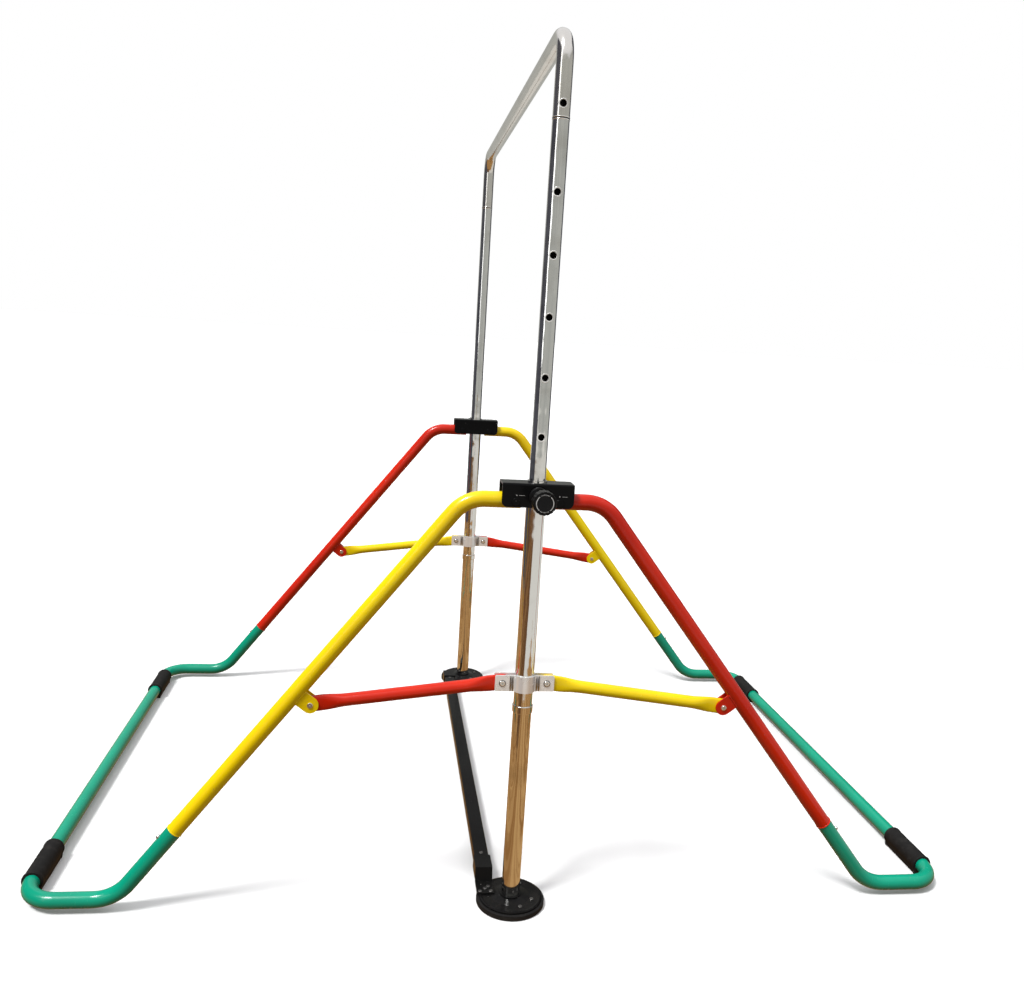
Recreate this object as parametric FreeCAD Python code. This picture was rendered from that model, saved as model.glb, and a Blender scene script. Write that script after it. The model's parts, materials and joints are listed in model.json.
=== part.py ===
"""Folding, height-adjustable children's horizontal bar.

Frame: millimetres, +Z up.  The origin is on the floor, midway between the two posts.
The grip bar runs along Y, the legs spread along X.  The near end has y < 0, the right
side has x > 0.  The bar stands at its highest setting with the legs spread.
"""
import FreeCAD, Part
import math
import os

V = FreeCAD.Vector
NEAR, FAR = -1, 1
LEFT, RIGHT = -1, 1
END_NAMES = {NEAR: "near", FAR: "far"}
SIDE_NAMES = {LEFT: "left", RIGHT: "right"}
ENDS = (NEAR, FAR)
SIDES = (LEFT, RIGHT)

# ---------------------------------------------------------------- overall sizes
HALF_SPAN = 509.0          # post axis from the middle, along Y
BAR_HEIGHT = 1357.0        # axis of the grip bar at the highest setting
FOOT_REACH = 768.0         # axis of the long floor bars from the middle, along X
LEG_TOP_Z = 679.0          # axis of the leg's level top run, and of its pivot
PLAY = 0.3                 # clearance round things that slide or turn
TOUCH_PLAY = 0.1           # clearance of a close fit
PIN_PLAY = 0.6             # clearance of pins and bolts that end or pass beside a part
OVERSHOOT = 1.0            # how far a cutting shape runs past the face that it opens
HEAD_ROUND = 0.6           # rounding of a rivet, bolt or button head, as a share of its height

# ---------------------------------------------------------------- tubes
UPPER_OD, UPPER_WALL = 25.4, 1.5
BUSH_WALL = 0.5
LOWER_WALL = 1.5
LOWER_OD = UPPER_OD + 2 * (PLAY + BUSH_WALL + LOWER_WALL)
LEG_OD, LEG_WALL = 25.4, 1.2
LOOP_OD, LOOP_WALL = LEG_OD, 1.2
BAR_BEND_R = 44.0

# ---------------------------------------------------------------- height adjustment
HOLE_PITCH = 89.0
HOLE_R = 5.2
LOCK_Z = LEG_TOP_Z + 10.0          # height of the lock pins
UPRIGHT_BOTTOM_Z = LOCK_Z - 209.0
BAR_SEAM_Z = BAR_HEIGHT - 121.0    # where the bent bar meets the uprights
JOINER_LENGTH = 100.0
HOLE_COUNT = int((BAR_SEAM_Z - JOINER_LENGTH / 2 - LOCK_Z) / HOLE_PITCH) + 1
JOINER_HOLE_UP = 19.0      # open button hole above the seam
GUIDE_LENGTH = 26.0
BUSH_LENGTH = 34.0
BUSH_DROP = 1.0            # top of the bush below the top of the post

# ---------------------------------------------------------------- lower posts
BRACKET_TOP_Z = LEG_TOP_Z + 29.0
POST_TOP_Z = BRACKET_TOP_Z + 3.0
COLLAR_Z = LEG_TOP_Z - 294.0       # middle of the sliding collars
STOP_RING_Z = COLLAR_Z - 43.0
STOP_RING_H, STOP_RING_OUT, STOP_RING_ROUND = 13.0, 1.4, 1.26

# ---------------------------------------------------------------- pivot brackets
BRACKET_HALF_X = 55.5
BRACKET_HEIGHT = 37.0
BRACKET_SHEET = 2.5
SPACER_LENGTH, SPACER_R = 4.2, 9.0
POST_GAP = 2.5             # least space between the lower post and a bracket wall
BRACKET_INSIDE = max(LEG_OD / 2 + PIN_PLAY + SPACER_LENGTH, LOWER_OD / 2 + POST_GAP)
BRACKET_DEPTH = 2 * (BRACKET_INSIDE + BRACKET_SHEET)
BRACKET_CORNER_R = 9.0
BRACKET_EDGE_R = 3.5
PIVOT_X = 34.0
PIVOT_BOLT_R = 4.0
PIVOT_HEAD_R, PIVOT_HEAD_H = 6.5, 2.2

# ---------------------------------------------------------------- lock pins and knobs
BOSS_R, BOSS_OUT = 8.0, 46.0          # threaded boss, its end measured from the post axis
FLANGE_R, FLANGE_H, FLANGE_EDGE_R = 14.2, 5.0, 2.0
PIN_R = 4.8
PIN_TIP_PLAY = 0.4
PIN_POINT = 1.2            # bevel on the pin's tip
KNOB_R, KNOB_BACK, KNOB_FACE = 18.0, 56.0, 82.0
KNOB_WAIST_R, KNOB_WAIST_H = 11.0, 8.0
KNOB_EDGE = 1.5            # bevel round the knob's face
FLUTES, FLUTE_R, FLUTE_DEPTH = 10, 3.4, 1.5
CAP_R, CAP_H, CAP_PROUD, CAP_EDGE_R = 12.5, 2.2, 0.6, 0.5
PIN_END = 74.0             # outer end of the lock pin, inside the knob

# ---------------------------------------------------------------- legs
LEG_KNEE_X = 108.0
LEG_FOOT_X = FOOT_REACH - 140.0
FOOT_SOLE = 6.7            # rubber under the floor tubes
LOOP_Z = LOOP_OD / 2 + FOOT_SOLE   # axis of the floor tubes
LEG_BEND_R = 60.0
LEG_INNER_END = 10.0       # leg end past the pivot
FLOOR_BEND_R = 70.0
CORNER_R = 50.0
SEAM_UP = 148.0            # painted seam above the foot's corner, along the leg
SPIGOT_LENGTH, SPIGOT_WALL = 52.0, 1.2
SHOULDER = 3.0
BUTTON_ALONG = 24.0        # seam to the spring button
BUTTON_R, BUTTON_PROUD, BUTTON_TRAVEL = 3.6, 3.0, 3.0
SPRING_SHEET, SPRING_WIDTH, SPRING_LENGTH = 0.8, 7.0, 26.0
SPRING_TIP = 6.0           # spring past the middle of the button
SPRING_FOLD = 5.0          # how far back the inside of the fold lies

# ---------------------------------------------------------------- brace links and collars
TAB_ALONG = 401.0          # rivet from the knee, along the leg
TAB_OFFSET = LEG_OD / 2 + 16.3     # rivet under the leg's axis
TAB_SHEET, TAB_HALF_W = 2.5, 13.0
LINK_OD, LINK_WALL = 20.0, 1.2
LINK_THICK, LINK_END_R = 9.4, 12.6
LINK_FLAT, LINK_TAPER = 16.0, 34.0
EAR_X = 35.7               # collar rivets from the post axis
COLLAR_HEIGHT, COLLAR_SHEET = 27.0, 2.5
EAR_END, EAR_HEIGHT, EAR_CORNER_R = 47.5, 26.0, 2.5
RIVET_R, RIVET_HEAD_R, RIVET_HEAD_H = 3.0, 4.6, 1.6
RIVET_BORE_R, RIVET_BORE_DEPTH = 1.5, 3.0

# ---------------------------------------------------------------- floor parts
DISC_R, DISC_TOP_Z = 52.0, 12.0
RIM_R, RIM_TOP_Z, PAD_THICK, RIM_EDGE_R = 56.5, 9.5, 4.0, 1.5
DISC_LIP, LIP_PEAK_IN, LIP_FOOT_IN = 1.2, 2.5, 5.5
BOSS_CONE_R, BOSS_CONE_H = 32.0, 3.0
POST_SEAT_DEPTH = 5.0
SEAT_RING_R, SEAT_RING_H = LOWER_OD / 2 + 2.6, 2.0
CROSSBAR_X, CROSSBAR_W, CROSSBAR_H, CROSSBAR_WALL, CROSSBAR_EDGE_R = -41.0, 25.0, 20.0, 1.5, 2.0
CROSSBAR_Z = 15.5          # underside of the crossbar
CROSSBAR_END = HALF_SPAN - 44.0
SADDLE_SHEET, SADDLE_START, SADDLE_END = 2.0, HALF_SPAN - 79.0, HALF_SPAN - 1.0
SADDLE_PLAY, SADDLE_SLOPE = 1.0, 8.0   # past the bar's end, and along Y from bar top to disc
SCREW_HEAD_R, SCREW_HEAD_H, SCREW_CROWN_R = 3.6, 1.6, 1.1
BAR_SCREW_BACK = 10.0      # screw on the bar, before the saddle
RIVET_IN, RIVET_EDGE = 5.0, 3.5        # corner rivets, from the saddle's end and sides
DISC_SCREW_IN, SLOT_SCREW_IN, SLOT_SCREW_X = 13.0, 19.0, 6.0
DISC_SCREWS = ((12.0, -34.0), (34.0, -14.0), (20.0, 32.0))   # from the post axis
FOOT_LENGTH, FOOT_R, FOOT_PAD_HALF, FOOT_EDGE_R = 104.0, LOOP_OD / 2 + 3.5, 13.0, 2.0
FOOT_START = HALF_SPAN - CORNER_R - 1.0 - FOOT_LENGTH

# ---------------------------------------------------------------- worked out from the above
UPPER_R, LOWER_R, LEG_R, LOOP_R = UPPER_OD / 2, LOWER_OD / 2, LEG_OD / 2, LOOP_OD / 2
LOWER_BORE_R = LOWER_R - LOWER_WALL
LEG_BORE_R, LOOP_BORE_R = LEG_R - LEG_WALL, LOOP_R - LOOP_WALL
SPIGOT_R = LOOP_BORE_R - TOUCH_PLAY
LEG_RISE = LEG_TOP_Z - LOOP_Z
LEG_RUN = LEG_FOOT_X - LEG_KNEE_X
LEG_SLANT = math.hypot(LEG_RISE, LEG_RUN)
LEG_SIN, LEG_COS = LEG_RUN / LEG_SLANT, LEG_RISE / LEG_SLANT
SEAM_ALONG = LEG_SLANT - SEAM_UP
PLATE_GAP_HALF = LINK_THICK / 2 + PLAY


def leg_point(along, under=0.0):
    """Point of the right leg's plane: distance from the knee, and distance under the axis."""
    x = LEG_KNEE_X + along * LEG_SIN - under * LEG_COS
    z = LEG_TOP_Z - along * LEG_COS - under * LEG_SIN
    return V(x, 0, z)


LEG_OUTWARD = V(LEG_COS, 0, LEG_SIN)
TAB_PIVOT = leg_point(TAB_ALONG, TAB_OFFSET)
EAR_PIVOT = V(EAR_X, 0, COLLAR_Z)


# ---------------------------------------------------------------- shape helpers
def rod(radius, start, end):
    """Solid cylinder between two points."""
    line = end.sub(start)
    return Part.makeCylinder(radius, line.Length, start, line)


def ring(outer_r, inner_r, start, end):
    """Hollow cylinder between two points."""
    return rod(outer_r, start, end).cut(rod(inner_r, start, end))


def block(x0, x1, y0, y1, z0, z1):
    """Box between two corners."""
    return Part.makeBox(x1 - x0, y1 - y0, z1 - z0, V(x0, y0, z0))


def bent_path(points, radii):
    """Wire of straight runs joined by tangent arcs, one radius for each inner point."""
    edges = []
    last = points[0]
    for before, corner, after, radius in zip(points, points[1:], points[2:], radii):
        back = before.sub(corner).normalize()
        ahead = after.sub(corner).normalize()
        half = back.getAngle(ahead) / 2
        reach = radius / math.tan(half)
        arc_in = corner.add(V(back).multiply(reach))
        arc_out = corner.add(V(ahead).multiply(reach))
        middle_line = back.add(ahead).normalize()
        centre = corner.add(V(middle_line).multiply(radius / math.sin(half)))
        arc_middle = centre.sub(V(middle_line).multiply(radius))
        edges.append(Part.LineSegment(last, arc_in).toShape())
        edges.append(Part.Arc(arc_in, arc_middle, arc_out).toShape())
        last = arc_out
    edges.append(Part.LineSegment(last, points[-1]).toShape())
    return Part.Wire(edges)


def sweep(points, radii, radius):
    """Round bar along straight runs and arcs."""
    start_line = points[1].sub(points[0])
    section = Part.Wire(Part.Circle(points[0], start_line, radius).toShape())
    return bent_path(points, radii).makePipeShell([section], True, False)


def bent_tube(points, radii, outer_r, wall):
    """Round tube along straight runs and arcs."""
    return sweep(points, radii, outer_r).cut(sweep(points, radii, outer_r - wall))


def outline_prism(points, depth_y):
    """Prism from a closed outline drawn in XZ, centred on y = 0."""
    face = Part.Face(Part.makePolygon(points + [points[0]]))
    face.translate(V(0, -depth_y / 2, 0))
    return face.extrude(V(0, depth_y, 0))


def place(shape, end, side=RIGHT):
    """Put a shape drawn on the near right of a post axis at one of the four places."""
    placed = shape.copy()
    if side == LEFT:
        placed = placed.mirror(V(0, 0, 0), V(1, 0, 0))
    if end == FAR:
        placed = placed.mirror(V(0, 0, 0), V(0, 1, 0))
    placed.translate(V(0, end * HALF_SPAN, 0))
    return placed


def along_y(radius, x, z, y0, y1):
    """Cylinder parallel to the grip bar."""
    return rod(radius, V(x, y0, z), V(x, y1, z))


def rims_at_y(shape, y):
    """Round edges of a shape that lie in the plane at y."""
    return [edge for edge in shape.Edges
            if isinstance(edge.Curve, Part.Circle) and abs(edge.BoundBox.Center.y - y) < TOUCH_PLAY]


# ---------------------------------------------------------------- the sliding grip frame
def hole_heights():
    return [LOCK_Z + HOLE_PITCH * step for step in range(HOLE_COUNT)]


def top_bar():
    points = [V(0, -HALF_SPAN, BAR_SEAM_Z), V(0, -HALF_SPAN, BAR_HEIGHT),
              V(0, HALF_SPAN, BAR_HEIGHT), V(0, HALF_SPAN, BAR_SEAM_Z)]
    bar = bent_tube(points, [BAR_BEND_R, BAR_BEND_R], UPPER_R, UPPER_WALL)
    hole_z = BAR_SEAM_Z + JOINER_HOLE_UP
    for end in ENDS:
        inside, outside = end * HALF_SPAN, end * (HALF_SPAN + 2 * UPPER_R)
        bar = bar.cut(along_y(HOLE_R, 0, hole_z, inside, outside))
    return bar


def upright():
    tube = ring(UPPER_R, UPPER_R - UPPER_WALL, V(0, 0, UPRIGHT_BOTTOM_Z), V(0, 0, BAR_SEAM_Z))
    for z in hole_heights():
        tube = tube.cut(along_y(HOLE_R, 0, z, -2 * UPPER_R, 0))
    return tube


def bar_joiner():
    """Inner sleeve that joins the bent bar to an upright, cut through at the open hole."""
    outer = UPPER_R - UPPER_WALL
    low, high = BAR_SEAM_Z - JOINER_LENGTH / 2, BAR_SEAM_Z + JOINER_LENGTH / 2
    sleeve = ring(outer, outer - UPPER_WALL, V(0, 0, low), V(0, 0, high))
    return sleeve.cut(along_y(HOLE_R, 0, BAR_SEAM_Z + JOINER_HOLE_UP, -2 * UPPER_R, 0))


def upright_guide():
    """Plastic end plug whose head runs in the bore of the lower post."""
    bottom = UPRIGHT_BOTTOM_Z
    head = rod(LOWER_BORE_R - PLAY, V(0, 0, bottom - GUIDE_LENGTH / 2), V(0, 0, bottom))
    shank = rod(UPPER_R - UPPER_WALL, V(0, 0, bottom), V(0, 0, bottom + GUIDE_LENGTH))
    hollow = rod(UPPER_R / 2, V(0, 0, bottom - GUIDE_LENGTH), V(0, 0, bottom + 2 * GUIDE_LENGTH))
    return head.fuse(shank).cut(hollow)


# ---------------------------------------------------------------- the standing base frame
def lower_post():
    bottom = DISC_TOP_Z - POST_SEAT_DEPTH
    tube = ring(LOWER_R, LOWER_BORE_R, V(0, 0, bottom), V(0, 0, POST_TOP_Z))
    bead_low, bead_high = STOP_RING_Z - STOP_RING_H / 2, STOP_RING_Z + STOP_RING_H / 2
    bead = ring(LOWER_R + STOP_RING_OUT, LOWER_R - LOWER_WALL / 2, V(0, 0, bead_low), V(0, 0, bead_high))
    bead_edges = [edge for edge in bead.Edges
                  if isinstance(edge.Curve, Part.Circle) and edge.Curve.Radius > LOWER_R + PLAY]
    bead = bead.makeFillet(STOP_RING_ROUND, bead_edges)
    tube = tube.fuse(bead).removeSplitter()
    return tube.cut(along_y(PIN_R + PIN_PLAY, 0, LOCK_Z, -2 * LOWER_R, 0))


def post_bush():
    """Plastic bush in the top of the lower post, with the upright sliding in it."""
    top = POST_TOP_Z - BUSH_DROP
    bush = ring(LOWER_BORE_R, UPPER_R + PLAY, V(0, 0, top - BUSH_LENGTH), V(0, 0, top))
    return bush.cut(along_y(PIN_R + PIN_PLAY, 0, LOCK_Z, -2 * LOWER_R, 0))


def bracket():
    """Sheet channel, open below and at both ends, round the top of the lower post."""
    half_y, low = BRACKET_DEPTH / 2, BRACKET_TOP_Z - BRACKET_HEIGHT
    body = block(-BRACKET_HALF_X, BRACKET_HALF_X, -half_y, half_y, low, BRACKET_TOP_Z)
    long_top = [e for e in body.Edges if e.BoundBox.XLength > BRACKET_HALF_X and e.BoundBox.ZMin > LOCK_Z]
    body = body.makeFillet(BRACKET_EDGE_R, long_top)
    corners = [e for e in body.Edges if e.BoundBox.YLength > half_y and e.BoundBox.ZMax < LOCK_Z]
    body = body.makeFillet(BRACKET_CORNER_R, corners)
    past_end, inside = BRACKET_HALF_X + OVERSHOOT, BRACKET_INSIDE
    channel = block(-past_end, past_end, -inside, inside, low - OVERSHOOT, BRACKET_TOP_Z - BRACKET_SHEET)
    body = body.cut(channel)
    body = body.cut(rod(LOWER_R, V(0, 0, low), V(0, 0, BRACKET_TOP_Z + OVERSHOOT)))
    body = body.cut(along_y(BOSS_R, 0, LOCK_Z, -half_y - OVERSHOOT, OVERSHOOT - inside))
    for side in SIDES:
        body = body.cut(along_y(PIVOT_BOLT_R, side * PIVOT_X, LEG_TOP_Z, -BRACKET_DEPTH, BRACKET_DEPTH))
    return body


def pivot_bolts(end):
    """Four short shouldered pivots of one bracket, two for each leg, one from each wall."""
    wall = BRACKET_DEPTH / 2
    tip = LEG_R + PIN_PLAY
    bolts = []
    for side in SIDES:
        for face in (-1, 1):
            x = side * PIVOT_X
            shank = along_y(PIVOT_BOLT_R, x, LEG_TOP_Z, face * tip, face * wall)
            head = along_y(PIVOT_HEAD_R, x, LEG_TOP_Z, face * wall, face * (wall + PIVOT_HEAD_H))
            head = head.makeFillet(PIVOT_HEAD_H * HEAD_ROUND, rims_at_y(head, face * (wall + PIVOT_HEAD_H)))
            bolts.append(place(shank.fuse(head), end))
    return bolts


def pivot_spacers(end):
    """Nylon rings that fill the space between bracket wall and leg."""
    tip = LEG_R + PIN_PLAY
    rings = []
    for side in SIDES:
        for face in (-1, 1):
            start = V(side * PIVOT_X, face * tip, LEG_TOP_Z)
            stop = V(side * PIVOT_X, face * BRACKET_INSIDE, LEG_TOP_Z)
            rings.append(place(ring(SPACER_R, PIVOT_BOLT_R, start, stop), end))
    return rings


def knob_boss():
    """Threaded boss welded to the post, carrying the lock pin in its bore."""
    boss = along_y(BOSS_R, 0, LOCK_Z, -BOSS_OUT, 0)
    boss = boss.cut(rod(LOWER_R, V(0, 0, LOCK_Z - 2 * BOSS_R), V(0, 0, LOCK_Z + 2 * BOSS_R)))
    return boss.cut(along_y(PIN_R + PLAY, 0, LOCK_Z, -BOSS_OUT - OVERSHOOT, 0))


def boss_flange():
    """Round black skirt on the bracket face, round the boss."""
    face = BRACKET_DEPTH / 2
    flange = along_y(FLANGE_R, 0, LOCK_Z, -face - FLANGE_H, -face)
    flange = flange.makeFillet(FLANGE_EDGE_R, rims_at_y(flange, -face - FLANGE_H))
    return flange.cut(along_y(BOSS_R, 0, LOCK_Z, -face - FLANGE_H - OVERSHOOT, 0))


def lock_pin():
    """Spring pin, drawn out of its hole by the tip clearance."""
    tip = -(UPPER_R + PIN_TIP_PLAY)
    pin = along_y(PIN_R, 0, LOCK_Z, -PIN_END, tip)
    return pin.makeChamfer(PIN_POINT, rims_at_y(pin, tip))


def knob():
    """Fluted knob with a waisted back, bored for the pin and recessed for its cap."""
    profile = [V(0, -KNOB_FACE, 0), V(KNOB_R - KNOB_EDGE, -KNOB_FACE, 0),
               V(KNOB_R, -KNOB_FACE + KNOB_EDGE, 0), V(KNOB_R, -KNOB_BACK - KNOB_WAIST_H, 0),
               V(KNOB_WAIST_R, -KNOB_BACK, 0), V(0, -KNOB_BACK, 0)]
    face = Part.Face(Part.makePolygon(profile + [profile[0]]))
    body = face.revolve(V(0, 0, 0), V(0, 1, 0), 360)
    for step in range(FLUTES):
        angle = 2 * math.pi * step / FLUTES
        reach = KNOB_R + FLUTE_R - FLUTE_DEPTH
        x, z = reach * math.cos(angle), reach * math.sin(angle)
        body = body.cut(along_y(FLUTE_R, x, z, -KNOB_FACE - OVERSHOOT, 0))
    body.translate(V(0, 0, LOCK_Z))
    body = body.cut(along_y(PIN_R + TOUCH_PLAY, 0, LOCK_Z, -PIN_END, 0))
    return body.cut(along_y(CAP_R, 0, LOCK_Z, -KNOB_FACE - OVERSHOOT, -KNOB_FACE + CAP_H))


def knob_cap():
    """Plain round insert in the knob's face, slightly crowned."""
    front = -KNOB_FACE - CAP_PROUD
    cap = along_y(CAP_R, 0, LOCK_Z, front, -KNOB_FACE + CAP_H)
    return cap.makeFillet(CAP_EDGE_R, rims_at_y(cap, front))


# ---------------------------------------------------------------- base discs and crossbar
def base_disc():
    """Round plate with a raised lip and a low cone, seated in its rubber cup."""
    profile = [V(0, 0, PAD_THICK), V(DISC_R, 0, PAD_THICK), V(DISC_R, 0, DISC_TOP_Z),
               V(DISC_R - LIP_PEAK_IN, 0, DISC_TOP_Z + DISC_LIP), V(DISC_R - LIP_FOOT_IN, 0, DISC_TOP_Z),
               V(BOSS_CONE_R, 0, DISC_TOP_Z), V(SEAT_RING_R, 0, DISC_TOP_Z + BOSS_CONE_H),
               V(0, 0, DISC_TOP_Z + BOSS_CONE_H)]
    plate = Part.Face(Part.makePolygon(profile + [profile[0]])).revolve(V(0, 0, 0), V(0, 0, 1), 360)
    seat = rod(LOWER_R, V(0, 0, DISC_TOP_Z - POST_SEAT_DEPTH), V(0, 0, 2 * DISC_TOP_Z))
    return plate.cut(seat)


def disc_rim():
    """Rubber cup under and round the plate."""
    cup = rod(RIM_R, V(0, 0, 0), V(0, 0, RIM_TOP_Z))
    edges = [e for e in cup.Edges if isinstance(e.Curve, Part.Circle)]
    cup = cup.makeFillet(RIM_EDGE_R, edges)
    return cup.cut(rod(DISC_R, V(0, 0, PAD_THICK), V(0, 0, RIM_TOP_Z + OVERSHOOT)))


def seat_ring():
    """Bright ring round the post on top of the disc."""
    low = DISC_TOP_Z + BOSS_CONE_H
    return ring(SEAT_RING_R, LOWER_R, V(0, 0, low), V(0, 0, low + SEAT_RING_H))


def floor_crossbar():
    x0, x1 = CROSSBAR_X - CROSSBAR_W / 2, CROSSBAR_X + CROSSBAR_W / 2
    z1 = CROSSBAR_Z + CROSSBAR_H
    bar = block(x0, x1, -CROSSBAR_END, CROSSBAR_END, CROSSBAR_Z, z1)
    bar = bar.makeFillet(CROSSBAR_EDGE_R, [e for e in bar.Edges if e.BoundBox.YLength > CROSSBAR_END])
    wall, past_end = CROSSBAR_WALL, CROSSBAR_END + OVERSHOOT
    return bar.cut(block(x0 + wall, x1 - wall, -past_end, past_end, CROSSBAR_Z + wall, z1 - wall))


def crossbar_saddle():
    """Folded end bracket: over the bar's end, down, and flat on the disc."""
    half = CROSSBAR_W / 2 + SADDLE_SHEET + TOUCH_PLAY
    bar_top = CROSSBAR_Z + CROSSBAR_H + TOUCH_PLAY
    top, disc = bar_top + SADDLE_SHEET, DISC_TOP_Z + DISC_LIP
    start, drop, end = SADDLE_START, CROSSBAR_END + SADDLE_PLAY, SADDLE_END
    outline = [V(0, start, bar_top), V(0, start, top), V(0, drop + SADDLE_SHEET, top),
               V(0, drop + SADDLE_SLOPE, disc + SADDLE_SHEET), V(0, end, disc + SADDLE_SHEET),
               V(0, end, disc),
               V(0, drop + SADDLE_SLOPE - SADDLE_SHEET, disc), V(0, drop, bar_top)]
    strap = Part.Face(Part.makePolygon(outline + [outline[0]])).extrude(V(2 * half, 0, 0))
    strap.translate(V(CROSSBAR_X - half, 0, 0))
    for side in SIDES:
        inner, outer = side * (half - SADDLE_SHEET), side * half
        cheek = block(min(inner, outer), max(inner, outer), start, drop, CROSSBAR_Z, bar_top)
        cheek.translate(V(CROSSBAR_X, 0, 0))
        strap = strap.fuse(cheek)
    return strap.removeSplitter()


def saddle_screw_places():
    """Screws of one saddle: on the bar, and on the disc."""
    disc = DISC_TOP_Z + DISC_LIP + SADDLE_SHEET
    bar_top = CROSSBAR_Z + CROSSBAR_H
    spread = CROSSBAR_W / 2 - RIVET_EDGE
    return [(CROSSBAR_X, SADDLE_START - BAR_SCREW_BACK, bar_top),
            (CROSSBAR_X - spread, SADDLE_END - RIVET_IN, disc),
            (CROSSBAR_X + spread, SADDLE_END - RIVET_IN, disc),
            (CROSSBAR_X, SADDLE_END - DISC_SCREW_IN, disc),
            (CROSSBAR_X + SLOT_SCREW_X, SADDLE_END - SLOT_SCREW_IN, disc)]


def dome_screw(x, y, z):
    head = rod(SCREW_HEAD_R, V(x, y, z), V(x, y, z + SCREW_HEAD_H))
    crown = [e for e in head.Edges if e.BoundBox.ZMin > z + SCREW_CROWN_R]
    return head.makeFillet(SCREW_CROWN_R, crown)


def base_screws():
    """All the dome-headed screws of the crossbar saddles and of the discs."""
    heads = []
    for end in ENDS:
        for x, y, z in saddle_screw_places():
            heads.append(dome_screw(x, end * y, z))
        for x, y in DISC_SCREWS:
            heads.append(place(dome_screw(x, y, DISC_TOP_Z), end))
    return heads


# ---------------------------------------------------------------- legs and floor loops
def radial_hole(radius, along, reach):
    """Cutter for a hole in the outer wall of a leg, square to its axis."""
    start = leg_point(along)
    return rod(radius, start, start.add(V(LEG_OUTWARD).multiply(reach)))


def leg():
    """Bent leg tube with a level top run and a reduced spigot at its lower end."""
    seam = leg_point(SEAM_ALONG)
    points = [V(PIVOT_X - LEG_INNER_END, 0, LEG_TOP_Z), leg_point(0), seam]
    tube = bent_tube(points, [LEG_BEND_R], LEG_R, LEG_WALL)
    spigot_end = leg_point(SEAM_ALONG + SPIGOT_LENGTH)
    spigot_bore = SPIGOT_R - SPIGOT_WALL
    shoulder = ring(LEG_BORE_R, spigot_bore, leg_point(SEAM_ALONG - SHOULDER), seam)
    neck = ring(SPIGOT_R, spigot_bore, leg_point(SEAM_ALONG - SHOULDER), spigot_end)
    tube = tube.fuse(shoulder).fuse(neck).removeSplitter()
    tube = tube.cut(along_y(PIVOT_BOLT_R + PLAY, PIVOT_X, LEG_TOP_Z, -LEG_OD, LEG_OD))
    return tube.cut(radial_hole(BUTTON_R + PLAY, SEAM_ALONG + BUTTON_ALONG, LEG_OD))


def floor_loop():
    """Right floor loop, one bent tube from the near seam to the far seam."""
    near_y, far_y = V(0, -HALF_SPAN, 0), V(0, HALF_SPAN, 0)
    seam, foot = leg_point(SEAM_ALONG), leg_point(LEG_SLANT)
    corner = V(FOOT_REACH, 0, LOOP_Z)
    points = [seam.add(near_y), foot.add(near_y), corner.add(near_y),
              corner.add(far_y), foot.add(far_y), seam.add(far_y)]
    radii = [FLOOR_BEND_R, CORNER_R, CORNER_R, FLOOR_BEND_R]
    loop = bent_tube(points, radii, LOOP_R, LOOP_WALL)
    hole = radial_hole(BUTTON_R + PLAY, SEAM_ALONG + BUTTON_ALONG, LEG_OD)
    for end in ENDS:
        loop = loop.cut(place(hole, end))
    return loop


def foot_sleeve():
    """Rubber sleeve on the long floor bar with a flat, thicker underside."""
    start, stop = -FOOT_START - FOOT_LENGTH, -FOOT_START
    sleeve = along_y(FOOT_R, FOOT_REACH, LOOP_Z, start, stop)
    pad = block(FOOT_REACH - FOOT_PAD_HALF, FOOT_REACH + FOOT_PAD_HALF, start, stop, 0, LOOP_Z - LOOP_R)
    low_edges = [e for e in pad.Edges if e.BoundBox.YLength > FOOT_R and e.BoundBox.ZMax < TOUCH_PLAY]
    pad = pad.makeFillet(FOOT_EDGE_R, low_edges)
    sleeve = sleeve.fuse(pad).cut(along_y(LOOP_R, FOOT_REACH, LOOP_Z, -HALF_SPAN, 0))
    sleeve.translate(V(0, HALF_SPAN, 0))
    return sleeve


def snap_button():
    """Domed spring button standing out through spigot and floor tube."""
    along = SEAM_ALONG + BUTTON_ALONG
    low, high = LOOP_R / 2, LOOP_R + BUTTON_PROUD
    start, stop = leg_point(along, -low), leg_point(along, -high)
    button = rod(BUTTON_R, start, stop)
    crown = [e for e in button.Edges if isinstance(e.Curve, Part.Circle)
             and e.Curve.Center.sub(stop).Length < TOUCH_PLAY]
    return button.makeFillet(BUTTON_R * HEAD_ROUND, crown)


def button_spring():
    """Bent leaf in the spigot: one leg on the far wall, the other under the button."""
    bore = SPIGOT_R - SPIGOT_WALL
    along = SEAM_ALONG + BUTTON_ALONG
    wall_side = math.sqrt(bore ** 2 - (SPRING_WIDTH / 2) ** 2) - TOUCH_PLAY
    button_side = LOOP_R / 2 - BUTTON_TRAVEL - PLAY
    tip, fold = along + SPRING_TIP, along - SPRING_LENGTH
    corners = [leg_point(tip, -button_side), leg_point(fold, wall_side),
               leg_point(tip, wall_side), leg_point(tip, wall_side - SPRING_SHEET),
               leg_point(fold + SPRING_FOLD, wall_side - SPRING_SHEET),
               leg_point(tip, -button_side + SPRING_SHEET)]
    return outline_prism(corners, SPRING_WIDTH)


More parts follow.
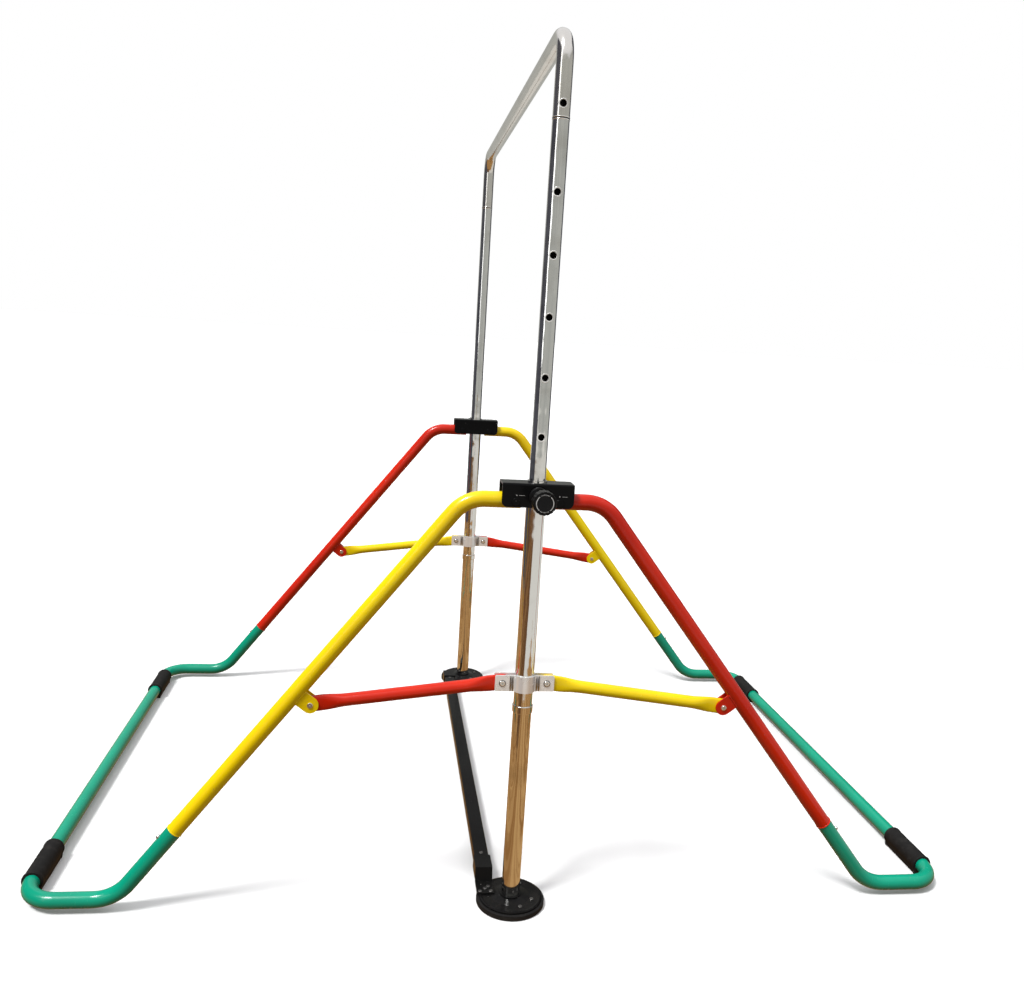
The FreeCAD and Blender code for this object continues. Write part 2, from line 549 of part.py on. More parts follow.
# ---------------------------------------------------------------- brace tabs, links and collars
def leg_tabs():
    """Two plates welded under the leg, either side of the link's end."""
    half, reach = TAB_HALF_W, TAB_OFFSET
    root = LEG_R / 2
    flat = outline_prism([leg_point(TAB_ALONG - half, root), leg_point(TAB_ALONG + half, root),
                          leg_point(TAB_ALONG + half, reach), leg_point(TAB_ALONG - half, reach)],
                         2 * (PLATE_GAP_HALF + TAB_SHEET))
    width = PLATE_GAP_HALF + TAB_SHEET
    tip = along_y(half, TAB_PIVOT.x, TAB_PIVOT.z, -width, width)
    tabs = flat.fuse(tip).removeSplitter()
    tabs = tabs.cut(rod(LEG_R, leg_point(TAB_ALONG - 3 * half), leg_point(TAB_ALONG + 3 * half)))
    tabs = tabs.cut(block(0, FOOT_REACH, -PLATE_GAP_HALF, PLATE_GAP_HALF, 0, LEG_TOP_Z))
    tabs = tabs.cut(along_y(RIVET_R, TAB_PIVOT.x, TAB_PIVOT.z, -LEG_OD, LEG_OD))
    return tabs.Solids


def rivet(x, z, half_grip):
    """Hollow rivet across two plates."""
    end = half_grip + RIVET_HEAD_H
    shank = along_y(RIVET_R, x, z, -half_grip, half_grip)
    for face in (-1, 1):
        head = along_y(RIVET_HEAD_R, x, z, face * half_grip, face * end)
        head = head.makeFillet(RIVET_HEAD_H * HEAD_ROUND, rims_at_y(head, face * end))
        shank = shank.fuse(head)
        shank = shank.cut(along_y(RIVET_BORE_R, x, z, face * (end - RIVET_BORE_DEPTH), face * 2 * end))
    return shank


def collar_half():
    """Back half of the sliding collar: half a band with a square ear on each side."""
    low, high = COLLAR_Z - COLLAR_HEIGHT / 2, COLLAR_Z + COLLAR_HEIGHT / 2
    bore_r = LOWER_R + PLAY
    inner, outer = PLATE_GAP_HALF, PLATE_GAP_HALF + COLLAR_SHEET
    band = rod(bore_r + COLLAR_SHEET, V(0, 0, low), V(0, 0, high))
    band = band.common(block(-LOWER_OD, LOWER_OD, inner, LOWER_OD, low, high))
    ears = block(-EAR_END, EAR_END, inner, outer, COLLAR_Z - EAR_HEIGHT / 2, COLLAR_Z + EAR_HEIGHT / 2)
    corners = [e for e in ears.Edges if e.BoundBox.YLength > COLLAR_SHEET / 2]
    ears = ears.makeFillet(EAR_CORNER_R, corners)
    bore = rod(bore_r, V(0, 0, low - OVERSHOOT), V(0, 0, high + OVERSHOOT))
    half = band.fuse(ears).removeSplitter().cut(bore)
    for side in SIDES:
        half = half.cut(along_y(RIVET_R, side * EAR_X, COLLAR_Z, 0, LOWER_OD))
    return half


def collar_front_half():
    return collar_half().mirror(V(0, 0, 0), V(0, 1, 0))


def link_blank(length):
    """Brace link laid along +X from its inner eye: round tube with flattened ends."""
    half_t = LINK_THICK / 2
    taper_end = LINK_FLAT + LINK_TAPER
    body = rod(LINK_OD / 2, V(taper_end, 0, 0), V(length - taper_end, 0, 0))
    for start, sign in ((0.0, 1), (length, -1)):
        eye = along_y(LINK_END_R, start, 0, -half_t, half_t)
        x0, x1 = start, start + sign * LINK_FLAT
        flat = block(min(x0, x1), max(x0, x1), -half_t, half_t, -LINK_END_R, LINK_END_R)
        throat = flat_section(x1, half_t, LINK_END_R)
        mouth = V(start + sign * taper_end, 0, 0)
        round_end = Part.Wire(Part.Circle(mouth, V(1, 0, 0), LINK_OD / 2).toShape())
        taper = Part.makeLoft([throat, round_end], True)
        body = body.fuse(eye).fuse(flat).fuse(taper)
    hollow = rod(LINK_OD / 2 - LINK_WALL, V(taper_end, 0, 0), V(length - taper_end, 0, 0))
    body = body.removeSplitter().cut(hollow)
    for x in (0.0, length):
        body = body.cut(along_y(RIVET_R + TOUCH_PLAY, x, 0, -LINK_OD, LINK_OD))
    return body


def flat_section(x, half_y, half_z):
    """Rectangle square to X, that the taper of a link starts from."""
    corners = [V(x, -half_y, -half_z), V(x, half_y, -half_z), V(x, half_y, half_z), V(x, -half_y, half_z)]
    return Part.makePolygon(corners + [corners[0]])


def brace_link():
    line = TAB_PIVOT.sub(EAR_PIVOT)
    link = link_blank(line.Length)
    link.rotate(V(0, 0, 0), V(0, 1, 0), -math.degrees(math.atan2(line.z, line.x)))
    link.translate(EAR_PIVOT)
    return link


# ---------------------------------------------------------------- the assembly
def build_nodes():
    """Every node by name, as a list of its separate solids."""
    nodes = {"top_bar": [top_bar()], "floor_crossbar": [floor_crossbar()], "base_screws": base_screws()}
    nodes["bar_joiners"] = [place(bar_joiner(), end) for end in ENDS]
    nodes["upright_guides"] = [place(upright_guide(), end) for end in ENDS]
    nodes["post_bushes"] = [place(post_bush(), end) for end in ENDS]
    nodes["pivot_bolts"] = [bolt for end in ENDS for bolt in pivot_bolts(end)]
    nodes["pivot_spacers"] = [spacer for end in ENDS for spacer in pivot_spacers(end)]
    nodes["knob_bosses"] = [place(knob_boss(), end) for end in ENDS]
    nodes["boss_flanges"] = [place(boss_flange(), end) for end in ENDS]
    nodes["disc_rims"] = [place(disc_rim(), end) for end in ENDS]
    nodes["seat_rings"] = [place(seat_ring(), end) for end in ENDS]
    saddle = crossbar_saddle()
    for end in ENDS:
        name = END_NAMES[end]
        nodes["upright_" + name] = [place(upright(), end)]
        nodes["lower_post_" + name] = [place(lower_post(), end)]
        nodes["bracket_" + name] = [place(bracket(), end)]
        nodes["lock_pin_" + name] = [place(lock_pin(), end)]
        nodes["knob_" + name] = [place(knob(), end)]
        nodes["knob_cap_" + name] = [place(knob_cap(), end)]
        nodes["base_disc_" + name] = [place(base_disc(), end)]
        nodes["crossbar_saddle_" + name] = [saddle if end == FAR else saddle.mirror(V(0, 0, 0), V(0, 1, 0))]
        nodes["collar_inner_" + name] = [place(collar_half(), end)]
        nodes["collar_outer_" + name] = [place(collar_front_half(), end)]
        grip = PLATE_GAP_HALF + COLLAR_SHEET
        nodes["collar_rivets_" + name] = [place(rivet(EAR_X, COLLAR_Z, grip), end, side) for side in SIDES]
    for side in SIDES:
        name = SIDE_NAMES[side]
        loop = floor_loop()
        nodes["floor_loop_" + name] = [loop if side == RIGHT else loop.mirror(V(0, 0, 0), V(1, 0, 0))]
        tab_rivet = rivet(TAB_PIVOT.x, TAB_PIVOT.z, PLATE_GAP_HALF + TAB_SHEET)
        nodes["tab_rivets_" + name] = [place(tab_rivet, end, side) for end in ENDS]
        nodes["button_springs_" + name] = [place(button_spring(), end, side) for end in ENDS]
        for end in ENDS:
            corner = END_NAMES[end] + "_" + name
            nodes["leg_" + corner] = [place(leg(), end, side)]
            nodes["foot_sleeve_" + corner] = [place(foot_sleeve(), end, side)]
            nodes["snap_button_" + corner] = [place(snap_button(), end, side)]
            nodes["leg_tabs_" + corner] = [place(plate, end, side) for plate in leg_tabs()]
            nodes["brace_link_" + corner] = [place(brace_link(), end, side)]
    return nodes


def main():
    os.makedirs("parts", exist_ok=True)
    for name, solids in build_nodes().items():
        for solid in solids:
            if not solid.isValid() or len(solid.Solids) != 1:
                raise ValueError("bad solid in " + name)
        shape = solids[0] if len(solids) == 1 else Part.makeCompound(solids)
        shape.exportStep("parts/" + name + ".step")
        print(name, len(solids), round(sum(solid.Volume for solid in solids) / 1000, 2), "cm3")


main()
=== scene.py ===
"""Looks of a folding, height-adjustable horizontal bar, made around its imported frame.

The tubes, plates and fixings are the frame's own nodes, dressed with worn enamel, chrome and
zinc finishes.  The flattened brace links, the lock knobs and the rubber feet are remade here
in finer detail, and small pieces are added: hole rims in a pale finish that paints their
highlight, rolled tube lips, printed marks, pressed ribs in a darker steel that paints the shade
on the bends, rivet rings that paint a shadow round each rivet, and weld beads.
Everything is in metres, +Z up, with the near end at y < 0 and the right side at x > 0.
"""
import json
import logging
import math
from dataclasses import dataclass, field
from enum import Enum
from typing import Any, Iterable, Sequence

import bmesh
import bpy
from mathutils import Matrix, Vector


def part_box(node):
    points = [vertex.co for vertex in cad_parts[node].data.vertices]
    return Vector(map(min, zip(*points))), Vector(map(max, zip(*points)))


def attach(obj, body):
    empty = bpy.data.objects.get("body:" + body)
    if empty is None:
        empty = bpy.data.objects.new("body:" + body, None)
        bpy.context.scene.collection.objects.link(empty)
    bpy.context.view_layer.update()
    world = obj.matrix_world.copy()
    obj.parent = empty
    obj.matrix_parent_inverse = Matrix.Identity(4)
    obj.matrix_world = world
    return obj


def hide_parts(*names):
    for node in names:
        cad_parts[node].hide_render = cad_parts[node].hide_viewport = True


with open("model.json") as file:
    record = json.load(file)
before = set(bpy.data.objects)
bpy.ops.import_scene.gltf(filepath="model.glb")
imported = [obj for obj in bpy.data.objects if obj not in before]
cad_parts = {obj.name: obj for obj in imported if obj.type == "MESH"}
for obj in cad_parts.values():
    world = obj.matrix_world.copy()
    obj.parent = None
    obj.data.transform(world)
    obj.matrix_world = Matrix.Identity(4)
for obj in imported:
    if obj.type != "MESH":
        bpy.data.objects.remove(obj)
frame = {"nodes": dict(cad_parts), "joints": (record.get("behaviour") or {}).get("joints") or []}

LOG = logging.getLogger("horizontal_bar")
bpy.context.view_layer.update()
JOINTS = {joint["name"]: joint for joint in frame["joints"]}
Colour = tuple[float, float, float]


class End(Enum):
    """The two ends of the grip bar."""

    NEAR = "near"
    FAR = "far"

    @property
    def sign(self) -> float:
        """Sign of y at this end."""
        return -1.0 if self is End.NEAR else 1.0


class Side(Enum):
    """The two leg frames."""

    LEFT = "left"
    RIGHT = "right"

    @property
    def sign(self) -> float:
        """Sign of x on this side."""
        return -1.0 if self is Side.LEFT else 1.0


class Grain(Enum):
    """Direction in which a tube was drawn, as the stretch of its fine lines."""

    UPRIGHT = (1.0, 1.0, 0.012)
    ACROSS = (1.0, 0.012, 1.0)
    NONE = (1.0, 1.0, 1.0)


# ---------------------------------------------------------------- shader arithmetic
class Socket:
    """An output of a shader node that takes part in plain arithmetic."""

    def __init__(self, graph: "Graph", output: bpy.types.NodeSocket) -> None:
        """Keep the output and the graph that it belongs to."""
        self.graph = graph
        self.output = output

    def __add__(self, other: "Socket | float") -> "Socket":
        """Sum of two values."""
        return self.graph.math("ADD", self, other)

    def __sub__(self, other: "Socket | float") -> "Socket":
        """This value less another."""
        return self.graph.math("SUBTRACT", self, other)

    def __rsub__(self, other: float) -> "Socket":
        """A number less this value."""
        return self.graph.math("SUBTRACT", other, self)

    def __mul__(self, other: "Socket | float") -> "Socket":
        """Product of two values."""
        return self.graph.math("MULTIPLY", self, other)

    __radd__ = __add__
    __rmul__ = __mul__


class Graph:
    """A material's node tree, with short calls for the nodes that the finishes use."""

    def __init__(self, tree: bpy.types.NodeTree, coordinates: str = "Object") -> None:
        """Empty the tree and give it coordinates.

        Args:
            tree: The node tree.
            coordinates: Name of the texture coordinate's output.
        """
        self.tree = tree
        tree.nodes.clear()
        self.place = Socket(self, self.node("ShaderNodeTexCoord").outputs[coordinates])

    def node(self, kind: str, settings: dict[str, Any] | None = None,
             inputs: dict[Any, Any] | None = None) -> bpy.types.Node:
        """Add one node.

        Args:
            kind: The node's type.
            settings: Its own settings, which are set first.
            inputs: Numbers, colours or sockets for its inputs, by name or place.

        Returns:
            The new node.
        """
        made = self.tree.nodes.new(kind)
        for name, value in (settings or {}).items():
            setattr(made, name, value)
        for name, value in (inputs or {}).items():
            if isinstance(value, Socket):
                self.tree.links.new(value.output, made.inputs[name])
            else:
                made.inputs[name].default_value = value
        return made

    def math(self, operation: str, first: "Socket | float", second: "Socket | float" = 0.0) -> Socket:
        """One Math node on one or two values."""
        made = self.node("ShaderNodeMath", {"operation": operation}, {0: first, 1: second})
        return Socket(self, made.outputs[0])

    def stretched(self, stretch: Sequence[float]) -> Socket:
        """Object coordinates, scaled along each axis."""
        made = self.node("ShaderNodeMapping", None, {"Vector": self.place, "Scale": stretch})
        return Socket(self, made.outputs[0])

    def noise(self, scale: float, detail: float = 3.0, rough: float = 0.55,
              stretch: Sequence[float] = Grain.NONE.value) -> Socket:
        """Cloudy noise.

        Args:
            scale: Features to the metre.
            detail: Octaves of finer noise.
            rough: Weight of the finer octaves.
            stretch: Scale of the pattern along each axis.

        Returns:
            The noise, from about 0.25 to 0.75.
        """
        made = self.node("ShaderNodeTexNoise", None, {
            "Vector": self.stretched(stretch), "Scale": scale, "Detail": detail, "Roughness": rough})
        return Socket(self, made.outputs[0])

    def cells(self, scale: float, stretch: Sequence[float] = Grain.NONE.value) -> Socket:
        """Distance to the nearest of many scattered points, in cells."""
        inputs = {"Vector": self.stretched(stretch), "Scale": scale}
        made = self.node("ShaderNodeTexVoronoi", None, inputs)
        return Socket(self, made.outputs["Distance"])

    def axis(self, name: str) -> Socket:
        """One coordinate, by its letter."""
        split = self.node("ShaderNodeSeparateXYZ", None, {0: self.place})
        return Socket(self, split.outputs[name])

    def step(self, value: Socket, start: float, stop: float) -> Socket:
        """Soft step from 0 at start to 1 at stop."""
        made = self.node("ShaderNodeMapRange", {"interpolation_type": "SMOOTHSTEP"},
                         {"Value": value, "From Min": start, "From Max": stop})
        return Socket(self, made.outputs[0])

    def mix(self, share: Socket, first: "Socket | Colour", second: "Socket | Colour") -> Socket:
        """Blend of two colours.

        Args:
            share: How much there is of the second colour, from 0 to 1.
            first: The first colour.
            second: The second colour.

        Returns:
            The blended colour.
        """
        colours = [tone if isinstance(tone, Socket) else (*tone, 1.0) for tone in (first, second)]
        inputs = {0: share, 6: colours[0], 7: colours[1]}
        made = self.node("ShaderNodeMix", {"data_type": "RGBA"}, inputs)
        return Socket(self, made.outputs[2])

    def bump(self, height: Socket, depth: float) -> Socket:
        """Surface normal from a height, with its depth in metres."""
        made = self.node("ShaderNodeBump", None, {"Height": height, "Distance": depth, "Strength": 1.0})
        return Socket(self, made.outputs[0])

    def shader(self, **inputs: Any) -> None:
        """Finish the tree with one surface shader.

        Args:
            inputs: Its sockets, with underscores for the spaces in their names.
        """
        named = {name.replace("_", " "): value for name, value in inputs.items()}
        surface = self.node("ShaderNodeBsdfPrincipled", None, named)
        output = self.node("ShaderNodeOutputMaterial")
        self.tree.links.new(surface.outputs[0], output.inputs[0])


# ---------------------------------------------------------------- finishes
@dataclass(frozen=True)
class Finish:
    """A surface finish that can be put on any number of pieces."""

    name: str

    def paint(self, graph: Graph) -> None:
        """Build the finish's nodes: every finish has its own way."""
        raise NotImplementedError

    def material(self) -> bpy.types.Material:
        """The finish's material, made the first time that it is asked for.

        Returns:
            The material.
        """
        found = bpy.data.materials.get(self.name)
        if found is None:
            found = bpy.data.materials.new(self.name)
            found.use_nodes = True
            self.paint(Graph(found.node_tree))
        return found


@dataclass(frozen=True)
class ChromePlate(Finish):
    """Bright plating on drawn tube: wavy, hazy in patches, with fine lines and small pits.

    Inside the tube's bore the colour is near black as painted shade, with a rougher surface.
    """

    bright: Colour = (0.82, 0.82, 0.80)
    hazy: Colour = (0.62, 0.60, 0.565)
    # Painted shade: near-black colour inside the tube's bore.
    bore_shade: Colour = (0.025, 0.022, 0.020)
    polish: float = 0.065
    wave: float = 0.9
    grain: Grain = Grain.UPRIGHT
    post_y: float = 0.509
    bore_radius: float = 0.0118
    bore_top: float = 1.305
    bore_fade: float = 0.0003
    top_fade: float = 0.001
    line_height: float = 0.005
    wave_depth: float = 0.0009

    def paint(self, graph: Graph) -> None:
        """Build the finish's nodes.

        Args:
            graph: The material's node tree.
        """
        haze = graph.step(graph.noise(14, 5), 0.48, 0.72)
        lines = graph.noise(1500, 2, stretch=self.grain.value)
        handled = graph.step(graph.noise(55, 6, 0.7), 0.58, 0.70)
        pits = graph.step(graph.cells(210), 0.09, 0.04)
        waves = graph.noise(30, 1)
        across, along = graph.axis("X"), graph.math("ABSOLUTE", graph.axis("Y")) - self.post_y
        reach = graph.math("SQRT", across * across + along * along)
        bore_shade_mask = graph.step(reach, self.bore_radius, self.bore_radius - self.bore_fade)
        bore_shade_mask = bore_shade_mask * graph.step(graph.axis("Z"), self.bore_top + self.top_fade, self.bore_top)
        tone = graph.mix(haze * 0.7, self.bright, self.hazy)
        tone = graph.mix(pits * 0.8, tone, (0.16, 0.13, 0.10))
        # Painted shade: the bore goes near black, standing for the shade inside the tube.
        tone = graph.mix(bore_shade_mask, tone, self.bore_shade)
        height = waves * self.wave + lines * self.line_height
        graph.shader(
            Base_Color=tone, Metallic=1.0,
            Roughness=self.polish + haze * 0.05 + handled * 0.06 + lines * 0.03 + bore_shade_mask * 0.5,
            Normal=graph.bump(height, self.wave_depth))


@dataclass(frozen=True)
class ZincPlate(Finish):
    """Satin plating on pressed steel: pale, slightly blotched, softly rolled."""

    bright: Colour = (0.95, 0.95, 0.945)
    dull: Colour = (0.87, 0.87, 0.86)
    polish: float = 0.20
    metal: float = 0.50
    relief: float = 0.00003

    def paint(self, graph: Graph) -> None:
        """Build the finish's nodes.

        Args:
            graph: The material's node tree.
        """
        blotch = graph.step(graph.noise(60, 6, 0.65), 0.46, 0.66)
        rolled = graph.noise(900, 3, stretch=(0.05, 1.0, 1.0))
        scratch = graph.step(graph.noise(520, 4, 0.8, stretch=(1.0, 1.0, 0.06)), 0.63, 0.68)
        specks = graph.step(graph.cells(300), 0.07, 0.03)
        tone = graph.mix(blotch, self.bright, self.dull)
        tone = graph.mix(specks * 0.2, tone, (0.25, 0.22, 0.18))
        graph.shader(
            Base_Color=tone, Metallic=self.metal - blotch * 0.05,
            Roughness=self.polish + blotch * 0.08 + rolled * 0.04 + scratch * 0.06,
            Normal=graph.bump(rolled * 0.3 + scratch * 0.2, self.relief))


@dataclass(frozen=True)
class Enamel(Finish):
    """Gloss paint on steel tube: faint orange peel, scuffs along the tube and a few small chips."""

    colour: Colour = (0.5, 0.5, 0.5)
    deep: Colour = (0.4, 0.4, 0.4)
    scuffed: Colour = (0.6, 0.6, 0.6)
    gloss: float = 0.20
    shine: float = 0.42
    coat: float = 0.25
    floor_dirt: float = 0.5
    relief: float = 0.00012

    def paint(self, graph: Graph) -> None:
        """Build the finish's nodes.

        Args:
            graph: The material's node tree.
        """
        drift = graph.step(graph.noise(7, 4), 0.34, 0.66)
        scuffs = graph.step(graph.noise(85, 8, 0.72, stretch=(1.0, 1.0, 0.45)), 0.63, 0.72)
        hairlines = graph.step(graph.noise(700, 3, 0.6, stretch=(1.0, 0.10, 0.16)), 0.665, 0.71)
        chips = graph.step(graph.noise(310, 3, 0.5), 0.735, 0.755)
        low = graph.step(graph.axis("Z"), 0.022, 0.004)
        dirt = low * graph.step(graph.noise(120, 7, 0.7), 0.40, 0.62) * self.floor_dirt
        peel = graph.noise(520, 2, 0.5)
        tone = graph.mix(drift, self.colour, self.deep)
        tone = graph.mix(scuffs * 0.18 + hairlines * 0.25, tone, self.scuffed)
        tone = graph.mix(chips * 0.8, tone, (0.16, 0.15, 0.14))
        tone = graph.mix(dirt, tone, (0.12, 0.095, 0.07))
        graph.shader(
            Base_Color=tone, Coat_Weight=self.coat, Coat_Roughness=0.05, Specular_IOR_Level=self.shine,
            Roughness=self.gloss + drift * 0.05 + scuffs * 0.2 + hairlines * 0.12 + dirt * 0.4,
            Normal=graph.bump(peel * 0.35 - chips * 0.8 - hairlines * 0.12, self.relief))


@dataclass(frozen=True)
class Moulded(Finish):
    """Moulded plastic with a fine spark-eroded grain and rubbed patches."""

    colour: Colour = (0.03, 0.03, 0.03)
    rubbed: Colour = (0.07, 0.07, 0.07)
    matt: float = 0.38
    shine: float = 0.16
    grain_depth: float = 0.00005

    def paint(self, graph: Graph) -> None:
        """Build the finish's nodes.

        Args:
            graph: The material's node tree.
        """
        rub = graph.step(graph.noise(90, 6, 0.7), 0.50, 0.68)
        grain = graph.noise(2600, 2, 0.6)
        flow = graph.noise(24, 3)
        tone = graph.mix(rub * 0.6, self.colour, self.rubbed)
        graph.shader(
            Base_Color=tone, Specular_IOR_Level=self.shine,
            Roughness=self.matt + flow * 0.10 - rub * 0.10 + grain * 0.06,
            Normal=graph.bump(grain, self.grain_depth))


@dataclass(frozen=True)
class Rubber(Finish):
    """Dull black rubber, dusty in patches and scuffed where it stands on the floor."""

    colour: Colour = (0.0085, 0.008, 0.0078)
    dusty: Colour = (0.034, 0.031, 0.028)
    shine: float = 0.18
    relief: float = 0.00010

    def paint(self, graph: Graph) -> None:
        """Build the finish's nodes.

        Args:
            graph: The material's node tree.
        """
        dust = graph.step(graph.noise(70, 8, 0.75), 0.47, 0.70)
        foot = graph.step(graph.axis("Z"), 0.010, 0.0)
        grain = graph.noise(1900, 4, 0.7)
        pores = graph.step(graph.cells(650), 0.16, 0.05)
        tone = graph.mix(dust * 0.55 + foot * 0.35, self.colour, self.dusty)
        graph.shader(
            Base_Color=tone, Specular_IOR_Level=self.shine,
            Roughness=0.66 + dust * 0.18 + grain * 0.08,
            Normal=graph.bump(grain * 0.6 - pores * 0.7, self.relief))


@dataclass(frozen=True)
class PrintedInk(Finish):
    """Pale ink printed on plastic, rubbed thin in places."""

    colour: Colour = (0.72, 0.73, 0.72)
    worn: Colour = (0.26, 0.26, 0.26)

    def paint(self, graph: Graph) -> None:
        """Build the finish's nodes.

        Args:
            graph: The material's node tree.
        """
        rub = graph.step(graph.noise(900, 5, 0.7), 0.46, 0.66)
        graph.shader(
            Base_Color=graph.mix(rub, self.colour, self.worn),
            Roughness=0.42 + rub * 0.2,
            Normal=graph.bump(graph.noise(3000, 2), 0.00002))


@dataclass(frozen=True)
class PaleFloor(Finish):
    """Plain pale floor."""

    colour: Colour = (0.88, 0.88, 0.875)
    shade: Colour = (0.86, 0.86, 0.855)

    def paint(self, graph: Graph) -> None:
        """Build the finish's nodes.

        Args:
            graph: The material's node tree.
        """
        graph.shader(Base_Color=graph.mix(graph.noise(0.8), self.colour, self.shade), Roughness=0.8)


@dataclass(frozen=True)
class Glow(Finish):
    """Even light from a reflector card, streaked like floorboards where it has a second colour."""

    colour: Colour = (1.0, 1.0, 1.0)
    streak: Colour | None = None
    strength: float = 1.0
    boards: float = 9.0

    def paint(self, graph: Graph) -> None:
        """Build the finish's nodes.

        Args:
            graph: The material's node tree.
        """
        streak = self.streak or self.colour
        share = graph.step(graph.noise(self.boards, 5, 0.6, stretch=(1.0, 0.03, 1.0)), 0.40, 0.60)
        graph.shader(
            Base_Color=(0.0, 0.0, 0.0, 1.0), Specular_IOR_Level=0.0,
            Emission_Color=graph.mix(share, self.colour, streak), Emission_Strength=self.strength)


CHROME_POST = ChromePlate("chrome_post")
CHROME_BAR = ChromePlate("chrome_grip_bar", (0.80, 0.775, 0.73), (0.62, 0.585, 0.53), polish=0.13,
                         wave=0.4, grain=Grain.ACROSS)
CHROME_RIM = ChromePlate("chrome_seam_lip", bright=(0.90, 0.90, 0.88), polish=0.14, wave=0.1,
                         grain=Grain.NONE)
# Painted highlight: a pale, mostly white finish for the hole rims, standing for the ring of light round
# each hole.
HOLE_RIM_HIGHLIGHT = ZincPlate("hole_rim_highlight", (0.95, 0.95, 0.94), (0.88, 0.88, 0.86), 0.18, 0.35)
# Painted shade: a darker copy of the collar's plating for the pressed ribs, standing for the shade on the
# bends.
BEND_SHADE_STEEL = ZincPlate("bend_shade_steel", (0.42, 0.42, 0.43), (0.26, 0.26, 0.27), 0.10, 1.0)
SEAM_GAP = Enamel("dark_seam_gap", (0.02, 0.018, 0.016), (0.03, 0.027, 0.024), (0.06, 0.06, 0.06), 0.6)
ZINC_PRESSING = ZincPlate("satin_collar")
STEEL_FIXING = ZincPlate("steel_fixing", (0.78, 0.78, 0.76), (0.46, 0.45, 0.42), 0.16, 0.95)
# Real dark steel for the screws and joiners, and painted shadow for the rings round the collar rivets.
DARK_STEEL_AND_RIVET_SHADOW = ZincPlate("dark_screw_steel_and_rivet_shadow", (0.15, 0.145, 0.14), (0.07, 0.065, 0.06), 0.24, 0.9)
YELLOW = Enamel("yellow_leg_enamel", (0.94, 0.70, 0.0), (0.90, 0.63, 0.0), (0.96, 0.78, 0.10),
                shine=0.36, coat=0.18)
RED = Enamel("red_leg_enamel", (0.64, 0.020, 0.003), (0.55, 0.013, 0.002), (0.72, 0.07, 0.03),
             shine=0.28, coat=0.15)
GREEN = Enamel("green_floor_enamel", (0.0, 0.325, 0.195), (0.0, 0.28, 0.165), (0.03, 0.40, 0.26),
               shine=0.32, coat=0.18)
BLACK = Enamel("black_frame_enamel", (0.004, 0.004, 0.0045), (0.006, 0.006, 0.006),
               (0.012, 0.012, 0.012), 0.20, 0.07, 0.02, 0.05, 0.00004)
KNOB_PLASTIC = Moulded("black_knob_plastic", (0.006, 0.006, 0.006), (0.014, 0.014, 0.014), 0.22)
CAP_PLASTIC = Moulded("knob_face_plastic", (0.006, 0.006, 0.007), (0.012, 0.012, 0.012), 0.20)
NYLON = Moulded("pale_nylon", (0.62, 0.61, 0.57), (0.52, 0.50, 0.45), 0.50)
RUBBER = Rubber("foot_rubber")
INK = PrintedInk("knob_ink")
ENAMELS = {"yellow": YELLOW, "red": RED}


# ---------------------------------------------------------------- making pieces
def dress(finish: Finish, *nodes: str) -> None:
    """Put a finish on frame nodes.

    Args:
        finish: The finish.
        nodes: Names of the nodes.
    """
    for node in nodes:
        mesh = frame["nodes"][node].data
        mesh.materials.clear()
        mesh.materials.append(finish.material())
        LOG.info("dressed %s in %s", node, finish.name)


MERGE_DISTANCE = 1e-6


def make_piece(name: str, shape: bmesh.types.BMesh, finish: Finish, body: str,
               replaces: Sequence[str] = (), sharp: float = 38.0) -> bpy.types.Object:
    """Turn a finished bmesh into a piece that rides on a body.

    Args:
        name: Name of the new piece.
        shape: Its shape, in place, in metres.
        finish: Its finish.
        body: The body that carries it.
        replaces: Frame nodes that it stands for.
        sharp: Least angle of an edge that stays sharp, in degrees.

    Returns:
        The new object.
    """
    bmesh.ops.remove_doubles(shape, verts=shape.verts, dist=MERGE_DISTANCE)
    bmesh.ops.recalc_face_normals(shape, faces=shape.faces)
    mesh = bpy.data.meshes.new(name)
    shape.to_mesh(mesh)
    shape.free()
    mesh.shade_smooth()
    mesh.set_sharp_from_angle(angle=math.radians(sharp))
    mesh.materials.append(finish.material())
    piece = bpy.data.objects.new(name, mesh)
    bpy.context.scene.collection.objects.link(piece)
    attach(piece, body)
    if replaces:
        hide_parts(*replaces)
    LOG.info("made %s with %d faces", name, len(mesh.polygons))
    return piece


def extrude_ring(shape: bmesh.types.BMesh, edges: Sequence[bmesh.types.BMEdge],
                 shift: Vector) -> list[bmesh.types.BMEdge]:
    """Extrude a closed ring of edges.

    Args:
        shape: The bmesh.
        edges: The ring's edges.
        shift: How far the new ring lies from the old one.

    Returns:
        The new ring's edges.
    """
    grown = bmesh.ops.extrude_edge_only(shape, edges=edges)["geom"]
    verts = [item for item in grown if isinstance(item, bmesh.types.BMVert)]
    bmesh.ops.translate(shape, verts=verts, vec=shift)
    return [item for item in grown if isinstance(item, bmesh.types.BMEdge)
            and all(vert in verts for vert in item.verts)]


def grown_rings(shape: bmesh.types.BMesh, count: int, step: Vector,
                capped: bool = True) -> list[list[bmesh.types.BMVert]]:
    """Extrude a circle, the shape's only edges, into a straight row of rings.

    Args:
        shape: The bmesh.
        count: How many rings there are, with the first.
        step: How far each ring lies from the one before it.
        capped: Whether the last ring is closed with a face.

    Returns:
        The vertices of each ring.
    """
    ring = list(shape.edges)
    rings = [ring_verts(ring)]
    for _ in range(count - 1):
        ring = extrude_ring(shape, ring, step)
        rings.append(ring_verts(ring))
    if capped:
        bmesh.ops.contextual_create(shape, geom=ring)
    return rings


def ring_verts(edges: Iterable[bmesh.types.BMEdge]) -> list[bmesh.types.BMVert]:
    """The vertices of a ring, each once."""
    return list({vert: None for edge in edges for vert in edge.verts})


